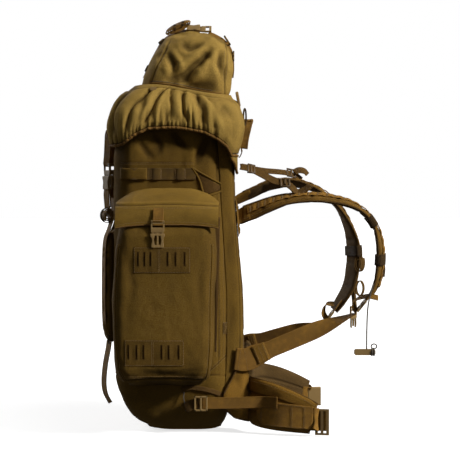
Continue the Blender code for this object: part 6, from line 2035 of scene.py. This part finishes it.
def plug_half(geo, mouth, u, v, reach=0.036, thick=0.0034):
    h = thick / 2
    arms = [(-0.0122, 0.0015), (-0.0126, -0.0100), (-0.0122, -0.0170), (-0.0100, -0.0196), (-0.0080, -0.0196),
            (-0.0086, -0.0120), (-0.0078, 0.0010), (-0.0025, 0.0010), (-0.0022, -0.0160), (0.0022, -0.0160),
            (0.0025, 0.0010), (0.0078, 0.0010), (0.0086, -0.0120), (0.0080, -0.0196), (0.0100, -0.0196),
            (0.0122, -0.0170), (0.0126, -0.0100), (0.0122, 0.0015), (0.0138, 0.0030), (0.0142, 0.0120),
            (-0.0142, 0.0120), (-0.0138, 0.0030)]
    box_plate(geo, arms, mouth, u, v, -h, h, bevel=0.0005)
    for side in (-1, 1):
        a, b = side * 0.0108, side * 0.0142
        box_plate(geo, [(a, 0.0105), (b, 0.0105), (b, reach - 0.010), (a, reach - 0.010)], mouth, u, v,
                  -h * 1.2, h * 1.2)
    for low, high in ((0.0195, 0.0228), (reach - 0.0124, reach - 0.0092)):
        box_plate(geo, [(-0.0142, low), (0.0142, low), (0.0142, high), (-0.0142, high)], mouth, u, v,
                  -h * 1.2, h * 1.2)


def buckles():
    for tag, sign in SIDES:
        # side pockets
        mouth = np.array((-0.0415, sign * 0.2836, 0.440))
        female = Geo()
        socket_half(female, mouth, (1, 0, 0), (0, 0, 1))
        female.make("pocket_socket_" + tag, "pack", PLASTIC, ["pocket_buckle_female_" + tag],
                    "buckle_plastic",
                    smooth=False)
        male = Geo()
        plug_half(male, mouth, (1, 0, 0), (0, 0, 1))
        male.make("pocket_plug_half_" + tag, "pocket_plug_" + tag, PLASTIC, ["pocket_buckle_male_" + tag],
                  "buckle_plastic", smooth=False)
        web = Geo()
        x = mouth[0]
        loop = [(x, sign * 0.2874, 0.4660), (x, sign * 0.2858, 0.4640), (x, sign * 0.2836, 0.4626),
                (x, sign * 0.2816, 0.4640), (x, sign * 0.2816, 0.4720)]
        webbing(web, loop, (1, 0, 0), width=0.0205, thick=0.0014, step=0.0016)
        web.make("pocket_plug_webbing_" + tag, "pocket_plug_" + tag, WEB, slot="webbing")
        web = Geo()
        loop = [(x, sign * 0.2836, 0.4135), (x, sign * 0.2862, 0.4110), (x, sign * 0.2850, 0.4070),
                (x, sign * 0.2822, 0.4010), (x, sign * 0.2816, 0.3960)]
        webbing(web, loop, (1, 0, 0), width=0.0190, thick=0.0014, step=0.0016)
        web.make("pocket_socket_webbing_" + tag, "pack", WEB, slot="webbing")
        # lid closure at the front
        mouth = np.array((-0.1590, sign * 0.100, 0.559))
        female = Geo()
        socket_half(female, mouth, (0.5 * sign, 0.87, 0), (0, 0, 1))
        female.make("lid_socket_" + tag, "pack", PLASTIC, ["lid_buckle_female_" + tag], "buckle_plastic",
                    smooth=False)
        male = Geo()
        plug_half(male, mouth, (0.5 * sign, 0.87, 0), (0, 0, 1))
        male.make("lid_plug_half_" + tag, "lid_plug_" + tag, PLASTIC, ["lid_buckle_male_" + tag],
                  "buckle_plastic",
                  smooth=False)
        web = Geo()
        y = mouth[1]
        line = [(-0.1570, y, 0.5830), (-0.1612, y, 0.5805), (-0.1608, y, 0.5860), (-0.1592, y, 0.6050),
                (-0.1580, y, 0.6300), (-0.1570, y, 0.6480), (-0.1548, y, 0.6570)]
        webbing(web, line, (0.62 * sign, 0.78, 0), width=0.0235, step=0.003)
        web.make("lid_plug_webbing_" + tag, "lid_plug_" + tag, WEB, slot="webbing")
    # strap over the top of the lid
    mouth = np.array((0.0440, -0.030, 0.8840))
    female = Geo()
    socket_half(female, mouth, (0, 0.88, 0.47), (1, 0, 0))
    female.make("lash_socket", "lid", PLASTIC, ["lash_buckle_female"], "buckle_plastic", smooth=False)
    male = Geo()
    plug_half(male, mouth, (0, 0.88, 0.47), (1, 0, 0), reach=0.034)
    male.make("lash_plug_half", "lash_plug", PLASTIC, ["lash_buckle_male"], "buckle_plastic", smooth=False)


def top_and_rear(pocket, hood):
    webs, parts, rings = Geo(), Geo(), Geo()
    y = -0.030
    line = [(-0.0800, y, 0.7760), (-0.0680, y, 0.8050), (-0.0525, y, 0.8350), (-0.0400, y, 0.8570),
            (-0.0200, y, 0.8745), (0.0000, y, 0.8835), (0.0150, y, 0.8850)]
    p, n = pocket.drop(line, (0.6, 0, -0.8))
    webbing(webs, p + n * 0.0026, (0, 0.94, 0.34))
    line = [(0.0670, y, 0.8800), (0.0840, y, 0.8730), (0.1010, y, 0.8600), (0.1135, y, 0.8410),
            (0.1175, y, 0.8200),
            (0.1168, y, 0.8000), (0.1120, y, 0.7740)]
    p, n = pocket.drop(line, (-0.6, 0, -0.8))
    webbing(webs, p + n * 0.0026, (0, 0.94, 0.34))
    # spare webbing rolled up on the crown
    turn = np.linspace(0, 9.2 * np.pi, 190)
    radius = 0.0016 + 0.0084 * turn / turn[-1]
    flat_roll = np.column_stack([radius * np.cos(turn) * 3.0, radius * np.sin(turn) * 0.72])
    tilt = math.radians(24)
    spiral = np.column_stack([-0.0040 + flat_roll[:, 0] * math.cos(tilt) - flat_roll[:, 1] * math.sin(tilt),
                              np.full(190, y - 0.004),
                              0.8880 + flat_roll[:, 0] * math.sin(tilt) + flat_roll[:, 1] * math.cos(tilt)])
    sweep(webs, spiral, (0, 0.95, 0.30), web_section(0.0250, 0.0017))
    for cx in (-0.012, 0.006):
        band = np.linspace(0, 2 * np.pi, 36)
        loop = np.column_stack([np.full(36, cx) + 0.0006 * np.cos(band), y - 0.002 + 0.0138 * np.cos(band),
                                0.8880 + (cx + 0.004) * 0.42 + 0.0092 * np.sin(band)])
        sweep(rings, loop, (1, 0, 0), web_section(0.006, 0.0014))
    tri_glide(parts, np.array((0.1040, y, 0.8590)), (0, 1, 0), (0.55, 0, -0.83), length=0.024)
    tri_glide(parts, np.array((0.1180, y, 0.8240)), (0, 1, 0), (0.0, 0, -1.0), length=0.022)
    for cx, cz, lean in ((-0.0420, 0.8560, 0.7), (-0.0740, 0.7960, 1.1)):
        tri_glide(parts, np.array((cx, y, cz)), (0, 1, 0), (math.cos(lean), 0, math.sin(lean)), length=0.015,
                  thick=0.006)
    # rear of the lid: strap, tab buckle, oval ring and the webbing that carries the handle
    rear = [(0.1150, 0.7520), (0.1180, 0.7400), (0.1226, 0.7220), (0.1262, 0.7000), (0.1290, 0.6640),
            (0.1335, 0.6120)]
    p, n = hood.drop([(a, -0.075, min(b, 0.742)) for a, b in rear[1:-1]], (-1, 0, 0))
    p = np.vstack([p + n * 0.0022, [(0.1350, -0.075, 0.6120)]])
    webbing(webs, p, (0, 1, 0))
    box_plate(parts, [(-0.012, -0.016), (0.012, -0.016), (0.014, -0.006), (0.014, 0.010), (0.009, 0.017),
                      (-0.009, 0.017), (-0.014, 0.010), (-0.014, -0.006)], (0.1246, -0.075, 0.7260),
                      (0, 1, 0),
              (-0.18, 0, 1), 0.0, 0.0065, bevel=0.0014)
    band = np.linspace(0, 2 * np.pi, 48)
    oval = np.column_stack([0.1425 + 0.0030 * np.cos(band), -0.075 + 0.0125 * np.cos(band),
                            0.6880 + 0.0180 * np.sin(band)])
    tube(rings, oval, 0.0019, 10, up=(1, 0, 0))
    webs.make("lid_straps", "lid", WEB, ["lash_strap_front", "lash_strap_rear", "lid_rear_strap"], "webbing")
    parts.make("lid_hardware", "lid", PLASTIC, slot="buckle_plastic", smooth=False)
    rings.make("lid_rings_and_keepers", "lid", ELASTIC)
    # carrying handle
    handle, threads = Geo(), Geo()
    half = [(0.1395, -0.0350, 0.6190), (0.1420, -0.0362, 0.6400), (0.1470, -0.0340, 0.6620),
            (0.1505, -0.0250, 0.6760), (0.1515, -0.0100, 0.6815)]
    loop = half + [(a, -b, c) for a, b, c in reversed(half)]
    packed = webbing(handle, loop, (1, 0, 0), width=0.0200, thick=0.0026, step=0.003)
    along, side, normal = frames(packed[:, :3], packed[:, 3:6])
    grip = slice(int(len(packed) * 0.36), int(len(packed) * 0.64))
    sweep(handle, packed[grip, :3], side[grip], web_section(0.0215, 0.0062))
    for off in (-0.007, 0.007):
        for face in (-1, 1):
            stitches(threads, packed[:, :3] + side * off + normal * face * 0.0016, normal * face)
    handle.make("handle_webbing", "handle", WEB, ["grab_handle"], "webbing")
    threads.make("handle_stitching", "handle", THREAD)
    tabs = Geo()
    for s in (-1, 1):
        webbing(tabs, [(0.1300, s * 0.0352, 0.5985), (0.1340, s * 0.0352, 0.6040),
                       (0.1370, s * 0.0352, 0.6140),
                       (0.1345, s * 0.0352, 0.6190)], (0, 1, 0), width=0.020, step=0.002)
    tabs.make("handle_tabs", "pack", DARK_WEB, slot="webbing")


def chest_and_cord():
    path = spline(WHISTLE_CORD, 0.0042)
    geo = Geo()
    tube(geo, path, CORD_D / 2, 12, up=(0, 1, 0))
    band = np.linspace(0, 2 * np.pi, 36)
    knot = Geo()
    for cx in (0.4185, 0.4230):
        lashing = np.column_stack([np.full(36, cx), -0.1455 + 0.0068 * np.cos(band),
                                   0.1760 + 0.0080 * np.sin(band)])
        tube(knot, lashing, 0.0016, 8, up=(1, 0, 0))
    tube(knot, np.column_stack([0.4230 + 0.0060 * np.cos(band), np.full(36, -0.1455),
                                0.1885 + 0.0052 * np.sin(band)]), 0.0014, 8)
    lashing = knot.make("whistle_lashing", "harness_R", CORD, slot="cord")
    made = geo.make("whistle_cord_braid", "harness_R", CORD, ["whistle_cord"], "cord")
    # chest strap half: webbing through the lock on the left strap down to its plug
    mouth = np.array((0.3950, 0.100, 0.2260))
    plug = Geo()
    plug_half(plug, mouth, (0.55, 0.83, 0), (0, 0, 1), reach=0.040)
    plug.make("sternum_plug_half", "sternum_plug", PLASTIC, ["sternum_plug_L"], "buckle_plastic",
              smooth=False)
    web = Geo()
    line = [(0.3925, 0.100, 0.2520), (0.3980, 0.100, 0.2510), (0.3972, 0.100, 0.2640),
            (0.3955, 0.100, 0.2860),
            (0.3950, 0.100, 0.3100)]
    webbing(web, line, (0.5, 0.87, 0), width=0.0215, step=0.003)
    web.make("sternum_webbing", "sternum_plug", DARK_WEB, slot="webbing")
    # rolled spare webbing and an elastic loop on the left strap
    roll = Geo()
    turn = np.linspace(0, 4.2 * np.pi, 80)
    radius = 0.0022 + 0.0058 * turn / turn[-1]
    spiral = np.column_stack([0.4075 + radius * np.cos(turn), np.full(80, 0.085),
                              0.3560 + radius * np.sin(turn) * 2.4])
    sweep(roll, spiral, (0.5, 0.87, 0), web_section(0.0240, 0.0018))
    band = np.linspace(0, 2 * np.pi, 30)
    loop = np.column_stack([0.4075 + 0.0084 * np.cos(band), np.full(30, 0.085),
                            0.3560 + 0.0186 * np.sin(band)])
    sweep(roll, loop, (0.5, 0.87, 0), web_section(0.0080, 0.0018))
    loop = np.column_stack([0.4090 + 0.0085 * np.cos(band), np.full(30, 0.088),
                            0.2985 + 0.0165 * np.sin(band)])
    sweep(roll, loop, (0.5, 0.87, 0), web_section(0.0100, 0.0022))
    roll.make("spare_webbing_roll_L", "harness_L", DARK_WEB, slot="webbing")
    blade = Geo()
    webbing(blade, [(0.4430, -0.119, 0.3760), (0.4460, -0.119, 0.3560), (0.4445, -0.119, 0.3380)],
            (0.6, 0.8, 0), width=0.012, step=0.003)
    blade.make("strap_tail_R", "harness_R", ELASTIC, slot="webbing")
    tail = Geo()
    webbing(tail, [(0.3870, -0.117, 0.2620), (0.3800, -0.119, 0.2760), (0.3890, -0.120, 0.2900),
                   (0.4120, -0.121, 0.2960),
                   (0.4340, -0.121, 0.2920)], (0.35, 0.85, 0.35), width=0.0220, step=0.003)
    tail.make("adjuster_tail_R", "harness_R", WEB, slot="webbing")
    tail = Geo()
    webbing(tail, [(0.3330, 0.100, 0.2260), (0.3260, 0.099, 0.2420), (0.3320, 0.098, 0.2600),
                   (0.3500, 0.098, 0.2620)],
            (0.4, 0.85, 0.35), width=0.0220, step=0.003)
    tail.make("adjuster_tail_L", "harness_L", WEB, slot="webbing")


PULL_D = 0.0024


def lower_side():
    """Zip and drawcord low on each side of the bag."""
    for tag, sign in SIDES:
        pieces, cords = Geo(), Geo()
        y = sign * 0.1690
        line = [(0.0060, y, 0.0980), (0.0300, sign * 0.1680, 0.1010), (0.0620, sign * 0.1672, 0.0960),
                (0.0900, sign * 0.158, 0.0860)]
        hang = spline([(0.0105, y, 0.0918), (0.0095, y - sign * 0.001, 0.0800), (0.0125, y, 0.0640),
                       (0.0150, sign * 0.1675, 0.0500)], 0.003)
        tube(cords, hang, PULL_D / 2, 12, up=(0, 1, 0))
        webbing(pieces, line, (0, 0, 1), width=0.010, thick=0.0016, step=0.003)
        pieces.make("low_zip_cover_" + tag, "pack", DARK_WEB, slot="webbing")
        made = cords.make("low_pull_cord_" + tag, "pack", CORD, slot="cord")


KEPT = (
    ("frame_sheet", FRAME_PLASTIC, 0.0), ("stay_R", STAY_METAL, 0.0004), ("stay_L", STAY_METAL, 0.0004),
    ("strap_lock_R", PLASTIC, 0.0009), ("strap_lock_L", PLASTIC, 0.0009), ("belt_slider_R", PLASTIC, 0.0011),
    ("belt_buckle_L", PLASTIC, 0.0012), ("stabiliser_lock_R", PLASTIC, 0.0008),
    ("stabiliser_lock_L", PLASTIC, 0.0008),
    ("whistle", PLASTIC, 0.0016), ("lid_zip_slider", PLASTIC, 0.0008),
)


def kept_parts():
    for name, finish, round_ in KEPT:
        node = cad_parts[name]
        if not node.material_slots:
            node.data.materials.append(finish)
        for place in node.material_slots:
            place.material = finish
        if round_:
            edge = node.modifiers.new("edges", "BEVEL")
            edge.width, edge.segments, edge.limit_method = round_, 2, "ANGLE"
            edge.harden_normals = False


add_camera()
add_world()
for sun in SUNS:
    add_sun(*sun)
scene.view_settings.view_transform = "Standard"
add_floor()
chest_and_cord()
BAG_SURFACE = bag_skin()
base_skin()
side_trim(BAG_SURFACE)
HOOD_SURFACE = hood_skin()
POCKET_TOP = pocket_lid_skin()
rear_panel_skin()
side_pockets()
flap_skins()
front_pieces()
back_pieces()
side_cloths()
shoulder_straps()
lifters_and_lower()
belt()
buckles()
top_and_rear(POCKET_TOP, HOOD_SURFACE)
lower_side()
kept_parts()
